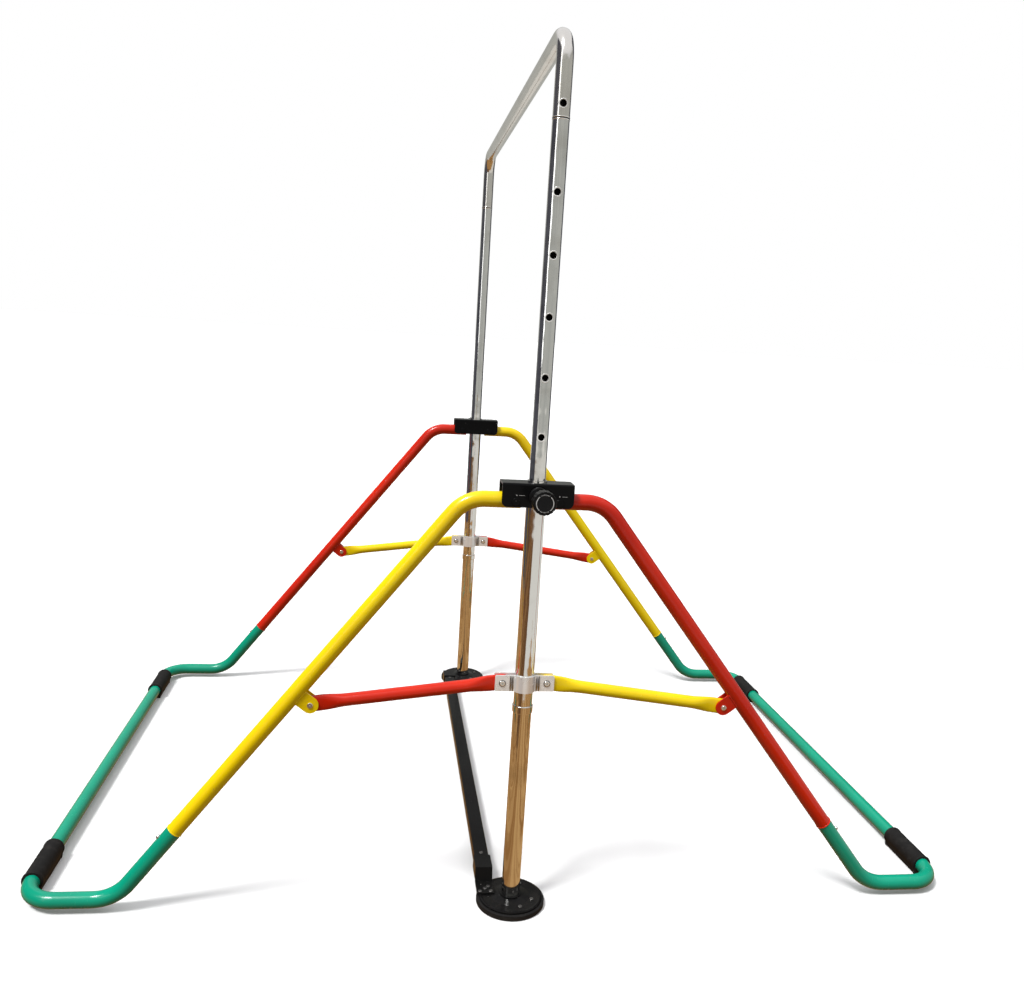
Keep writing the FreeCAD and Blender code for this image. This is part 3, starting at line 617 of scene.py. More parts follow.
def lathe(profile: Sequence[tuple[float, float]], steps: int = 96) -> bmesh.types.BMesh:
    """Spin an outline about the Y axis.

    Args:
        profile: Points of the outline, as radius and y.
        steps: Faces round the shape.

    Returns:
        The closed shape.
    """
    shape = bmesh.new()
    verts = [shape.verts.new((radius, y, 0.0)) for radius, y in profile]
    edges = [shape.edges.new(pair) for pair in zip(verts, verts[1:])]
    bmesh.ops.spin(shape, geom=verts + edges, cent=(0, 0, 0), axis=(0, 1, 0), angle=math.tau,
                   steps=steps, use_merge=True)
    bmesh.ops.remove_doubles(shape, verts=shape.verts, dist=MERGE_DISTANCE)
    return shape


def torus(ring_radius: float, bead_radius: float, steps: int = 48, sides: int = 10) -> bmesh.types.BMesh:
    """Round bead about the Y axis.

    Args:
        ring_radius: Radius of the ring's middle line.
        bead_radius: Radius of the bead.
        steps: Faces round the ring.
        sides: Faces round the bead.

    Returns:
        The closed shape.
    """
    shape = bmesh.new()
    place = Matrix.Translation((ring_radius, 0, 0))
    made = bmesh.ops.create_circle(shape, segments=sides, radius=bead_radius, matrix=place)
    loop = made["verts"] + list(shape.edges)
    bmesh.ops.spin(shape, geom=loop, cent=(0, 0, 0), axis=(0, 1, 0), angle=math.tau,
                   steps=steps, use_merge=True)
    bmesh.ops.remove_doubles(shape, verts=shape.verts, dist=MERGE_DISTANCE)
    return shape


def joined(shapes: Iterable[bmesh.types.BMesh]) -> bmesh.types.BMesh:
    """Put several shapes into one, and free them.

    Args:
        shapes: The shapes.

    Returns:
        One bmesh that holds them all.
    """
    whole = bmesh.new()
    for shape in shapes:
        mesh = bpy.data.meshes.new("part")
        shape.to_mesh(mesh)
        shape.free()
        whole.from_mesh(mesh)
        bpy.data.meshes.remove(mesh)
    return whole


def turned(axis: Vector) -> Matrix:
    """Rotation that takes +Y to a given direction."""
    return Vector((0, 1, 0)).rotation_difference(axis).to_matrix().to_4x4()


def placed(shape: bmesh.types.BMesh, matrix: Matrix) -> bmesh.types.BMesh:
    """The same bmesh, moved."""
    bmesh.ops.transform(shape, matrix=matrix, verts=shape.verts)
    return shape


def drilled(piece: bpy.types.Object, holes: Sequence[tuple[Vector, float]], depth: float) -> None:
    """Cut round holes parallel to Y through a piece's mesh.

    Args:
        piece: The piece.
        holes: Middle and radius of each hole.
        depth: Length of each cutter.
    """
    cutter_shape = bmesh.new()
    for middle, radius in holes:
        matrix = Matrix.Translation(middle) @ Matrix.Rotation(math.pi / 2, 4, "X")
        bmesh.ops.create_cone(cutter_shape, cap_ends=True, segments=40, radius1=radius, radius2=radius,
                              depth=depth, matrix=matrix)
    mesh = bpy.data.meshes.new("cutter")
    cutter_shape.to_mesh(mesh)
    cutter_shape.free()
    cutter = bpy.data.objects.new("cutter", mesh)
    bpy.context.scene.collection.objects.link(cutter)
    cut = piece.modifiers.new("holes", "BOOLEAN")
    cut.object = cutter
    cut.operation = "DIFFERENCE"
    cut.solver = "EXACT"
    bpy.context.view_layer.update()
    seen = piece.evaluated_get(bpy.context.evaluated_depsgraph_get())
    done = bpy.data.meshes.new_from_object(seen)
    piece.modifiers.clear()
    piece.data = done
    bpy.data.objects.remove(cutter)


def rounded_edges(piece: bpy.types.Object, width: float, angle: float = 35.0) -> None:
    """Finish a piece's sharp edges with a small live bevel.

    Args:
        piece: The piece.
        width: Width of the bevel in metres.
        angle: Least angle of an edge that is bevelled, in degrees.
    """
    bevel = piece.modifiers.new("edges", "BEVEL")
    bevel.limit_method = "ANGLE"
    bevel.angle_limit = math.radians(angle)
    bevel.width = width
    bevel.segments = 2
    bevel.use_clamp_overlap = True


# ---------------------------------------------------------------- sub-assemblies
@dataclass
class GripFrame:
    """The chromed grip bar with its two telescoping uprights."""

    body: str = "grip_frame"
    tube_radius: float = 0.0127
    hole_radius: float = 0.0052
    hole_pitch: float = 0.089
    hole_count: int = 6
    button_hole_up: float = 0.019
    rim_bead: float = 0.00125
    rim_spread: float = 0.85
    rim_proud: float = 0.0002
    seam_bead: float = 0.0008
    bead_out: float = 0.6
    bead_sunk: float = 0.4
    seam_gap: float = 0.0021
    band_proud: float = 0.00012
    band_depth: float = 0.0008

    def hole_rim(self, y: float, z: float, facing: float) -> bmesh.types.BMesh:
        """Swaged rim of one hole, curved to the tube.

        Args:
            y: The tube's axis.
            z: Height of the hole.
            facing: Sign of y of the side that it is on.

        Returns:
            The rim in place.
        """
        rim = torus(self.hole_radius + self.rim_bead * self.rim_spread, self.rim_bead)
        for vert in rim.verts:
            skin = math.sqrt(self.tube_radius ** 2 - vert.co.x ** 2)
            vert.co.y = facing * (skin + self.rim_proud - self.rim_bead + vert.co.y)
        return placed(rim, Matrix.Translation((0, y, z)))

    def seam_lips(self, y: float, z: float) -> bmesh.types.BMesh:
        """Two rolled lips where the bent bar meets an upright.

        Args:
            y: The tube's axis.
            z: Height of the seam.

        Returns:
            The lips in place.
        """
        shift = self.seam_gap / 2 + self.seam_bead * self.bead_out
        radius = self.tube_radius - self.seam_bead * self.bead_sunk
        return joined(placed(torus(radius, self.seam_bead, steps=96),
                             Matrix.Translation((0, y, z + rise)) @ turned(Vector((0, 0, 1))))
                      for rise in (-shift, shift))

    def seam_band(self, y: float, z: float) -> bmesh.types.BMesh:
        """Dark gap between the two lips.

        Args:
            y: The tube's axis.
            z: Height of the seam.

        Returns:
            The band in place.
        """
        outer, half = self.tube_radius + self.band_proud, self.seam_gap / 2
        inner = self.tube_radius - self.band_depth
        band = lathe([(inner, -half), (outer, -half), (outer, half), (inner, half), (inner, -half)])
        return placed(band, Matrix.Translation((0, y, z)) @ turned(Vector((0, 0, 1))))

    def build(self) -> None:
        """Make the rims and lips, and dress the tubes."""
        dress(CHROME_POST, "upright_near", "upright_far")
        dress(CHROME_BAR, "top_bar")
        dress(DARK_STEEL_AND_RIVET_SHADOW, "bar_joiners")
        dress(KNOB_PLASTIC, "upright_guides")
        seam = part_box("top_bar")[0].z
        pin_height = sum(corner.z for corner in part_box("lock_pin_near")) / 2
        for end in End:
            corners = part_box("upright_" + end.value)
            y = (corners[0].y + corners[1].y) / 2
            heights = [pin_height + self.hole_pitch * step for step in range(self.hole_count)]
            rims = [self.hole_rim(y, z, end.sign) for z in heights]
            rims.append(self.hole_rim(y, seam + self.button_hole_up, end.sign))
            # Painted highlight: the rims take a pale finish that stands for the light round each hole.
            make_piece("hole_rim_highlights_" + end.value, joined(rims), HOLE_RIM_HIGHLIGHT, self.body)
            make_piece("bar_seam_lips_" + end.value, self.seam_lips(y, seam), CHROME_RIM, self.body)
            make_piece("bar_seam_gap_" + end.value, self.seam_band(y, seam), SEAM_GAP, self.body)


@dataclass
class StandingFrame:
    """Posts, brackets, floor discs and the crossbar between them."""

    body: str = "base"
    dot_x: float = 0.033
    dot_radius: float = 0.0009
    dash_start: float = 0.0035
    dash_length: float = 0.0085
    dash_height: float = 0.0004
    dash_corner: float = 0.00018
    mark_height: float = 0.00015
    dash_share: float = 0.7
    dot_taper: float = 0.8

    def dot(self, place: Vector, facing: float) -> bmesh.types.BMesh:
        """One printed dot.

        Args:
            place: Its middle, on the bracket's face.
            facing: Sign of y of the way that the face looks.

        Returns:
            The dot in place.
        """
        shape = bmesh.new()
        middle = place + Vector((0, facing * self.mark_height / 2, 0))
        turn = Matrix.Rotation(-facing * math.pi / 2, 4, "X")
        bmesh.ops.create_cone(shape, cap_ends=True, segments=24, radius1=self.dot_radius,
                              radius2=self.dot_radius * self.dot_taper, depth=self.mark_height,
                              matrix=Matrix.Translation(middle) @ turn)
        return shape

    def dash(self, place: Vector, facing: float) -> bmesh.types.BMesh:
        """One printed dash with rounded corners.

        Args:
            place: The middle of the dot that it follows.
            facing: Sign of y of the way that the face looks.

        Returns:
            The dash in place.
        """
        shape = bmesh.new()
        depth = self.mark_height * self.dash_share
        along = -facing * (self.dash_start + self.dash_length / 2)
        middle = place + Vector((along, facing * depth / 2, 0))
        size = Matrix.Diagonal((self.dash_length, depth, self.dash_height, 1.0))
        bmesh.ops.create_cube(shape, size=1.0, matrix=Matrix.Translation(middle) @ size)
        corners = [edge for edge in shape.edges
                   if abs(edge.verts[0].co.y - edge.verts[1].co.y) > MERGE_DISTANCE]
        bmesh.ops.bevel(shape, geom=corners, offset=self.dash_corner, segments=3, profile=0.5,
                        affect="EDGES", material=-1)
        return shape

    def marks(self, end: End) -> bmesh.types.BMesh:
        """A printed dot and a plain dash over each pivot, on a bracket's outer face.

        Args:
            end: The end of the bar.

        Returns:
            The marks in place.
        """
        low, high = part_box("bracket_" + end.value)
        face = low.y if end is End.NEAR else high.y
        places = [Vector((self.dot_x * side.sign, face, (low.z + high.z) / 2)) for side in Side]
        return joined(draw(place, end.sign) for place in places for draw in (self.dot, self.dash))

    def build(self) -> None:
        """Dress the standing frame's nodes and print the brackets."""
        dress(CHROME_POST, "lower_post_near", "lower_post_far")
        dress(CHROME_RIM, "knob_bosses")
        dress(BLACK, "bracket_near", "bracket_far", "floor_crossbar", "crossbar_saddle_near",
              "crossbar_saddle_far", "base_disc_near", "base_disc_far", "pivot_bolts", "seat_rings")
        dress(DARK_STEEL_AND_RIVET_SHADOW, "base_screws")
        dress(KNOB_PLASTIC, "boss_flanges")
        dress(RUBBER, "disc_rims")
        dress(NYLON, "post_bushes", "pivot_spacers")
        for end in End:
            make_piece("bracket_marks_" + end.value, self.marks(end), INK, self.body)


@dataclass
class LockKnob:
    """One fluted lock knob with its printed face."""

    end: End
    radius: float = 0.018
    waist_radius: float = 0.011
    waist_height: float = 0.008
    waist_lip: float = 0.0006
    swell_start: float = 0.001
    edge_round: float = 0.0016
    skirt_height: float = 0.006
    flutes: int = 18
    flute_depth: float = 0.0009
    cap_radius: float = 0.0150
    cap_sink: float = 0.0012
    cap_rise: float = 0.0005
    cap_play: float = 0.00005
    cap_crown: float = 0.985
    seat_steps: tuple[tuple[float, float], ...] = ((0.0009, 0.0), (0.0003, 0.0004), (0.0, 0.0012))
    arc_radius: float = 0.0128
    mark_width: float = 0.0011
    mark_height: float = 0.00022
    arc_angle: float = 100.0
    arc_step: float = 5.0
    ticks: int = 7
    tick_step: float = 9.0
    tick_sweep: float = 2.4
    tick_length: float = 0.0016
    samples: int = 120
    place: Vector = field(init=False)
    depth: float = field(init=False)

    def __post_init__(self) -> None:
        """Take the knob's place and depth from the frame."""
        low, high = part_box("knob_" + self.end.value)
        self.depth = high.y - low.y
        back = high.y if self.end is End.NEAR else low.y
        self.place = Vector(((low.x + high.x) / 2, back, (low.z + high.z) / 2))

    def flute(self, angle: float) -> float:
        """Depth of the grip's hollows at an angle, from 0 to 1."""
        return max(0.0, math.cos(self.flutes * angle)) ** 0.8

    def sections(self) -> list[tuple[float, float, float]]:
        """Rings of the grip, from its waist to the seat of its cap.

        Returns:
            Distance from the knob's back, radius, and share of the flutes' depth, of each ring.
        """
        rows = [(0.0, self.waist_radius, 0.0),
                (self.waist_lip, self.waist_radius + self.waist_lip, 0.0)]
        for share in (0.25, 0.5, 0.75, 1.0):
            swell = math.sin(share * math.pi / 2)
            rows.append((self.swell_start + self.waist_height * share,
                         self.waist_radius + (self.radius - self.waist_radius) * swell, share))
        rows.append((self.depth - self.skirt_height, self.radius, 1.0))
        for turn in range(0, 91, 18):
            lean = math.radians(turn)
            rows.append((self.depth - self.edge_round * (1 - math.sin(lean)),
                         self.radius - self.edge_round * (1 - math.cos(lean)), 1.0 - turn / 90))
        seat = [(self.depth - sink, self.cap_radius + grow, 0.0) for grow, sink in self.seat_steps]
        return rows + seat

    def grip(self) -> bmesh.types.BMesh:
        """The knob's body, grown ring by ring from its waist to its face.

        Returns:
            The closed shape, its back at the origin.
        """
        shape = bmesh.new()
        bmesh.ops.create_circle(shape, segments=self.samples, radius=1.0, cap_ends=True,
                                matrix=Matrix.Rotation(math.pi / 2, 4, "X"))
        sections = self.sections()
        rings = grown_rings(shape, len(sections), Vector((0, 1, 0)))
        for verts, (along, radius, fluted) in zip(rings, sections):
            for vert in verts:
                angle = math.atan2(vert.co.z, vert.co.x)
                reach = radius - self.flute_depth * fluted * self.flute(angle)
                vert.co = Vector((reach * math.cos(angle), along, reach * math.sin(angle)))
        return shape

    def cap(self) -> bmesh.types.BMesh:
        """The crowned round insert in the knob's face.

        Returns:
            The closed shape, about the knob's axis.
        """
        side, low = self.cap_radius - self.cap_play, self.depth - self.cap_sink
        profile = [(0.0, low), (side, low), (side, self.depth - 2 * self.cap_play)]
        for turn in range(0, 91, 10):
            lean = math.radians(turn)
            profile.append((self.cap_radius * math.cos(lean) * self.cap_crown,
                            self.depth + self.cap_rise * math.sin(lean)))
        return lathe(profile)

    def mark(self, inner: float, outer: float, start: float, sweep: float) -> bmesh.types.BMesh:
        """One printed mark on the cap.

        Args:
            inner: Its inner radius.
            outer: Its outer radius.
            start: Angle at which it starts, in degrees.
            sweep: Angle that it spans, in degrees.

        Returns:
            The mark, as a thin raised shape.
        """
        shape = bmesh.new()
        low = self.depth + 0.0001
        high = low + 0.0004 * (1 - (outer / self.cap_radius) ** 6) + self.mark_height
        corners = [(inner, low), (outer, low), (outer, high), (inner, high)]
        verts = [shape.verts.new((radius, y, 0.0)) for radius, y in corners]
        face = shape.faces.new(verts)
        bmesh.ops.rotate(shape, verts=verts, cent=(0, 0, 0),
                         matrix=Matrix.Rotation(math.radians(start), 3, "Y"))
        bmesh.ops.spin(shape, geom=[face] + list(face.edges) + verts, cent=(0, 0, 0), axis=(0, 1, 0),
                       angle=math.radians(sweep), steps=max(1, int(sweep / self.arc_step)))
        return shape

    def marks(self) -> bmesh.types.BMesh:
        """Two plain arcs and two rows of short ticks.

        Returns:
            The marks, about the knob's axis.
        """
        inner, outer = self.arc_radius - self.mark_width / 2, self.arc_radius + self.mark_width / 2
        shapes = [self.mark(inner, outer, start, self.arc_angle)
                  for start in (-self.arc_angle / 2, 180 - self.arc_angle / 2)]
        for middle in (90.0, 270.0):
            for tick in range(self.ticks):
                angle = middle + (tick - (self.ticks - 1) / 2) * self.tick_step
                shapes.append(self.mark(self.arc_radius - self.tick_length / 2,
                                        self.arc_radius + self.tick_length / 2, angle, self.tick_sweep))
        return joined(shapes)

    def build(self) -> None:
        """Make the knob and dress its pin."""
        name, body = self.end.value, self.end.value + "_knob"
        facing = Matrix.Translation(self.place) @ Matrix.Scale(self.end.sign, 4, (0, 1, 0))
        pieces = (("knob_grip_", self.grip(), KNOB_PLASTIC, "black_plastic", ["knob_" + name]),
                  ("knob_face_", self.cap(), CAP_PLASTIC, "knob_insert", ["knob_cap_" + name]),
                  ("knob_marks_", self.marks(), INK, "knob_insert", []))
        for prefix, shape, finish, slot, nodes in pieces:
            make_piece(prefix + name, placed(shape, facing), finish, body, nodes)
        dress(STEEL_FIXING, "lock_pin_" + name)


@dataclass
class Brace:
    """One sliding collar with its two flattened-end links."""

    end: End
    colours: dict[Side, str]
    tube_radius: float = 0.0100
    eye_radius: float = 0.0126
    half_thickness: float = 0.0047
    plate_clear: float = 0.0003
    plate_sheet: float = 0.0025
    flat_length: float = 0.017
    taper_length: float = 0.040
    bore_radius: float = 0.0031
    drill_depth: float = 0.04
    edge_width: float = 0.0004
    segments: int = 56
    taper_rings: int = 12
    middle_span: float = 0.048
    squareness: float = 0.62
    rib_places: tuple[float, ...] = (0.0192, 0.0228)
    rib_radius: float = 0.0016
    rib_inset: float = 0.0012
    rib_taper: float = 0.55
    ring_bead: float = 0.0007

    def section(self, along: float, length: float) -> tuple[float, float, float]:
        """Half height, half width and flatness of the link at a distance from its inner eye.

        Args:
            along: Distance from the inner eye's middle.
            length: Distance between the eyes.

        Returns:
            Half height, half width, and 1 where it is flat or 0 where it is round.
        """
        inward = min(along, length - along)
        if inward < 0:
            return math.sqrt(max(self.eye_radius ** 2 - inward ** 2, 1e-9)), self.half_thickness, 1.0
        share = min(max((inward - self.flat_length) / self.taper_length, 0.0), 1.0)
        ease = share * share * (3 - 2 * share)
        return (self.eye_radius + (self.tube_radius - self.eye_radius) * ease,
                self.half_thickness + (self.tube_radius - self.half_thickness) * ease, 1.0 - ease)

    def link(self, length: float) -> bmesh.types.BMesh:
        """One link along +X, its inner eye at the origin.

        Args:
            length: Distance between the eyes.

        Returns:
            The closed shape, without its holes.
        """
        turns = (4, 12, 22, 34, 48, 62, 76, 90)
        ends = [-self.eye_radius * math.cos(math.radians(turn)) for turn in turns]
        taper = [self.flat_length + self.taper_length * step / self.taper_rings
                 for step in range(self.taper_rings + 1)]
        first = ends + [self.flat_length * 0.5] + taper
        middle = [(length - self.middle_span) / 2, (length + self.middle_span) / 2]
        places = first + middle + [length - along for along in reversed(first)]
        shape = bmesh.new()
        bmesh.ops.create_circle(shape, segments=self.segments, radius=1.0, cap_ends=True,
                                matrix=Matrix.Rotation(math.pi / 2, 4, "Y"))
        for verts, along in zip(grown_rings(shape, len(places), Vector((1, 0, 0))), places):
            high, wide, flat = self.section(along, length)
            power = 1.0 - self.squareness * flat
            for vert in verts:
                angle = math.atan2(vert.co.z, vert.co.y)
                y = math.copysign(abs(math.cos(angle)) ** power, math.cos(angle)) * wide
                vert.co = Vector((along, y, math.sin(angle) * high))
        return shape

    def ribs(self, plate: str, outer: bool) -> bmesh.types.BMesh:
        """Upright pressed ribs on one collar half, either side of the post.

        Args:
            plate: Name of the collar half's node.
            outer: Whether it is the half that faces outwards.

        Returns:
            The ribs in place.
        """
        low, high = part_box(plate)
        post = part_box("lower_post_" + self.end.value)
        axis_y = (post[0].y + post[1].y) / 2
        facing = self.end.sign if outer else -self.end.sign
        face = axis_y + facing * (self.half_thickness + self.plate_clear + self.plate_sheet)
        rise = (high.z - low.z - 2 * self.rib_inset) / 4
        shapes = []
        for x in (place * side.sign for place in self.rib_places for side in Side):
            foot = Vector((x, face, low.z + self.rib_inset))
            rib = bmesh.new()
            bmesh.ops.create_circle(rib, segments=16, radius=self.rib_radius, cap_ends=True,
                                    matrix=Matrix.Translation(foot))
            rings = grown_rings(rib, 5, Vector((0, 0, rise)))
            for verts in (rings[0], rings[-1]):
                bmesh.ops.scale(rib, verts=verts, vec=(self.rib_taper, self.rib_taper, 1.0),
                                space=Matrix.Translation((-x, -face, 0)))
            shapes.append(rib)
        return joined(shapes)

    def rivet_shadow_rings(self) -> bmesh.types.BMesh:
        """Painted shadow: a dark ring round each rivet head, on both collar halves.

        Returns:
            The rings in place.
        """
        low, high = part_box("collar_rivets_" + self.end.value)
        radius = (high.z - low.z) / 2
        middle = (low + high) / 2
        reach = self.half_thickness + self.plate_clear + self.plate_sheet
        shapes = []
        for x in (low.x + radius, high.x - radius):
            for facing in (-1.0, 1.0):
                ring = torus(radius + self.ring_bead * 0.5, self.ring_bead)
                shapes.append(placed(ring, Matrix.Translation((x, middle.y + facing * reach, middle.z))))
        return joined(shapes)

    def build(self) -> None:
        """Make the links and dress the collar."""
        name = self.end.value
        collar = name + "_collar"
        for half in ("inner", "outer"):
            ribs = self.ribs(f"collar_{half}_{name}", half == "outer")
            # Painted shade: the ribs are a darker steel than the collar plate they are pressed in.
            make_piece(f"collar_ribs_{half}_{name}", ribs, BEND_SHADE_STEEL, collar)
        # Painted shadow: dark rings round the rivet heads.
        make_piece("rivet_shadow_rings_" + name, self.rivet_shadow_rings(), DARK_STEEL_AND_RIVET_SHADOW, collar)
        dress(ZINC_PRESSING, "collar_inner_" + name, "collar_outer_" + name)
        dress(STEEL_FIXING, "collar_rivets_" + name)
        for side in Side:
            corner = f"{name}_{side.value}"
            inner = Vector(JOINTS[corner + "_link_pivot"]["pos_m"])
            outer = Vector(JOINTS[side.value + "_frame_pivot"]["pos_m"])
            outer.y = inner.y
            line = outer - inner
            lean = Matrix.Rotation(-math.atan2(line.z, line.x), 4, "Y")
            shape = placed(self.link(line.length), Matrix.Translation(inner) @ lean)
            colour = self.colours[side]
            piece = make_piece("link_bar_" + corner, shape, ENAMELS[colour], corner + "_link",
                               ["brace_link_" + corner])
            drilled(piece, [(inner, self.bore_radius), (outer, self.bore_radius)], self.drill_depth)
            rounded_edges(piece, self.edge_width)


@dataclass
class LegFrame:
    """One swinging leg frame: two legs, the floor loop and its rubber feet."""

    side: Side
    colours: dict[End, str]
    tube_radius: float = 0.0127
    lip_bead: float = 0.0009
    button_from_seam: float = 0.024
    button_head: float = 0.003
    tab_offset: float = 0.029
    tab_half_width: float = 0.013
    plate_side: float = 0.0075
    bead_radius: float = 0.0014
    bead_step: float = 0.0013
    bead_gap: float = 0.0002
    bead_start: float = 0.4
    bead_ripple: float = 0.78
    bead_end: float = 0.5
    foot_radius: float = 0.0162
    foot_half_pad: float = 0.013
    foot_squareness: float = 9.0
    foot_clear: float = 0.0001
    foot_roll: float = 0.0022
    foot_dip: float = 0.0006
    foot_lip: float = 0.0009
    lip_land: float = 0.0015
    lip_width: float = 0.0028
    foot_margin: float = 0.006
    foot_grooves: int = 11
    groove_reach: float = 0.0016
    groove_flat: float = 0.0009
    groove_depth: float = 0.0011
    foot_segments: int = 72

    @property
    def body(self) -> str:
        """The body that the frame's pieces ride on."""
        return self.side.value + "_frame"

    def outward(self) -> Vector:
        """Direction square to the legs, away from the posts."""
        return -Vector(JOINTS[f"near_{self.side.value}_button_press"]["axis"]).normalized()

    def downhill(self) -> Vector:
        """Direction down the legs."""
        out = self.outward()
        return Vector((abs(out.z) * self.side.sign, 0.0, -abs(out.x)))

    def seam_lip(self, end: End) -> bmesh.types.BMesh:
        """Rolled lip at the lower end of a leg, over the floor tube.

        Args:
            end: End of the bar that the leg stands at.

        Returns:
            The lip in place.
        """
        name = f"snap_button_{end.value}_{self.side.value}"
        low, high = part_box(name)
        head = (low + high) / 2
        out, down = self.outward(), self.downhill()
        reach = max(vertex.co.dot(out) for vertex in frame["nodes"][name].data.vertices)
        along = head.dot(down) - self.button_from_seam
        axis_out = reach - self.button_head - self.tube_radius
        middle = out * axis_out + down * along + Vector((0, head.y, 0))
        lip = torus(self.tube_radius, self.lip_bead, steps=80)
        return placed(lip, Matrix.Translation(middle) @ turned(down))

    def weld_bead(self, end: End) -> bmesh.types.BMesh:
        """Rippled weld beads between a leg and its two tab plates.

        Args:
            end: End of the bar that the leg stands at.

        Returns:
            The beads in place.
        """
        pivot = Vector(JOINTS[self.side.value + "_frame_pivot"]["pos_m"])
        y = abs(pivot.y) * end.sign
        out, down = self.outward(), self.downhill()
        under = math.sqrt(self.tube_radius ** 2 - self.plate_side ** 2)
        root = Vector((pivot.x, y, pivot.z)) + out * (self.tab_offset - under)
        beads = []
        count = int(2 * self.tab_half_width / self.bead_step)
        quarter = Matrix.Rotation(math.pi / 2, 4, "X")
        for face in (-1.0, 1.0):
            aside = Vector((0, face * (self.plate_side + self.bead_gap), 0))
            start = Matrix.Translation(root - down * self.tab_half_width + aside)
            shape = bmesh.new()
            bmesh.ops.create_circle(shape, segments=12, radius=self.bead_radius * self.bead_start,
                                    cap_ends=True, matrix=start @ turned(down) @ quarter)
            ring = list(shape.edges)
            for step in range(1, count + 1):
                ring = extrude_ring(shape, ring, down * self.bead_step)
                verts = ring_verts(ring)
                middle = sum((vert.co for vert in verts), Vector()) / len(verts)
                swell = self.bead_radius * (1.0 if step % 2 else self.bead_ripple)
                swell *= self.bead_end if step == count else 1.0
                for vert in verts:
                    vert.co = middle + (vert.co - middle).normalized() * swell
            bmesh.ops.contextual_create(shape, geom=ring)
            beads.append(shape)
        return joined(beads)

    def foot_reach(self, angle: float, axis_height: float) -> float:
        """Outer radius of the rubber foot at an angle about the tube.

        Args:
            angle: Angle from the horizontal, in radians.
            axis_height: Height of the tube's axis over the floor.

        Returns:
            Distance from the tube's axis to the rubber's surface.
        """
        across, up = abs(math.cos(angle)), math.sin(angle)
        if up >= 0:
            return self.foot_radius
        power = self.foot_squareness
        pad = ((across / self.foot_half_pad) ** power + (-up / axis_height) ** power) ** (-1 / power)
        return max(self.foot_radius, pad)

    def foot_stations(self, span: float) -> list[tuple[float, float, float]]:
        """Rings of a rubber foot, from one end to the other.

        Args:
            span: The foot's length.

        Returns:
            Distance from the foot's start, growth in radius, and kind of each ring. The kind is
            0 for a plain round ring of that radius, 1 for the outer skin, 2 for a groove.
        """
        roll = self.foot_roll
        stations = [(0.0, self.tube_radius + self.foot_clear, 0.0), (0.0, -self.foot_dip, 1.0)]
        for turn in (25, 50, 75, 90):
            lean = math.radians(turn)
            stations.append((roll * (1 - math.cos(lean)), self.foot_lip * math.sin(lean), 1.0))
        stations += [(roll + self.lip_land, self.foot_lip, 1.0), (roll + self.lip_width, 0.0, 1.0)]
        grooves = []
        pitch = (span - 2 * (roll + self.foot_margin)) / self.foot_grooves
        for groove in range(self.foot_grooves):
            place = roll + self.foot_margin + pitch * (groove + 0.5)
            grooves += [(place - self.groove_reach, 0.0, 1.0), (place - self.groove_flat, 0.0, 2.0),
                        (place + self.groove_flat, 0.0, 2.0), (place + self.groove_reach, 0.0, 1.0)]
        last = [(span - along, grow, kind) for along, grow, kind in reversed(stations)]
        return stations + grooves + last

    def foot(self, end: End) -> bmesh.types.BMesh:
        """Rubber sleeve with rolled ends and a grooved flat underside.

        Args:
            end: End of the bar that the foot stands at.

        Returns:
            The sleeve in place.
        """
        low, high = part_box(f"foot_sleeve_{end.value}_{self.side.value}")
        loop_low, loop_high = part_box("floor_loop_" + self.side.value)
        edge = loop_high.x if self.side is Side.RIGHT else loop_low.x
        axis_x = edge - self.side.sign * self.tube_radius
        axis_z = loop_low.z + self.tube_radius
        stations = self.foot_stations(high.y - low.y)
        shape = bmesh.new()
        bmesh.ops.create_circle(shape, segments=self.foot_segments, radius=1.0,
                                matrix=Matrix.Rotation(math.pi / 2, 4, "X"))
        rings = grown_rings(shape, len(stations), Vector((0, 1, 0)), capped=False)
        for verts, (along, grow, kind) in zip(rings, stations):
            for vert in verts:
                angle = math.atan2(vert.co.z, vert.co.x)
                reach = grow if kind == 0.0 else self.foot_reach(angle, axis_z) + grow
                floor = -axis_z + (self.groove_depth if kind == 2.0 else 0.0)
                vert.co = Vector((axis_x + reach * math.cos(angle), low.y + along,
                                  axis_z + max(reach * math.sin(angle), floor)))
        return shape

    def build(self) -> None:
        """Make the frame's own pieces and dress its nodes."""
        side = self.side.value
        dress(GREEN, "floor_loop_" + side)
        dress(STEEL_FIXING, "tab_rivets_" + side, "button_springs_" + side)
        for end in End:
            corner = f"{end.value}_{side}"
            enamel = ENAMELS[self.colours[end]]
            dress(enamel, "leg_" + corner, "leg_tabs_" + corner)
            dress(STEEL_FIXING, "snap_button_" + corner)
            make_piece("leg_lip_" + corner, self.seam_lip(end), enamel, self.body)
            make_piece("tab_welds_" + corner, self.weld_bead(end), enamel, self.body)
            make_piece("foot_rubber_" + corner, self.foot(end), RUBBER, self.body,
                       ["foot_sleeve_" + corner], sharp=50.0)


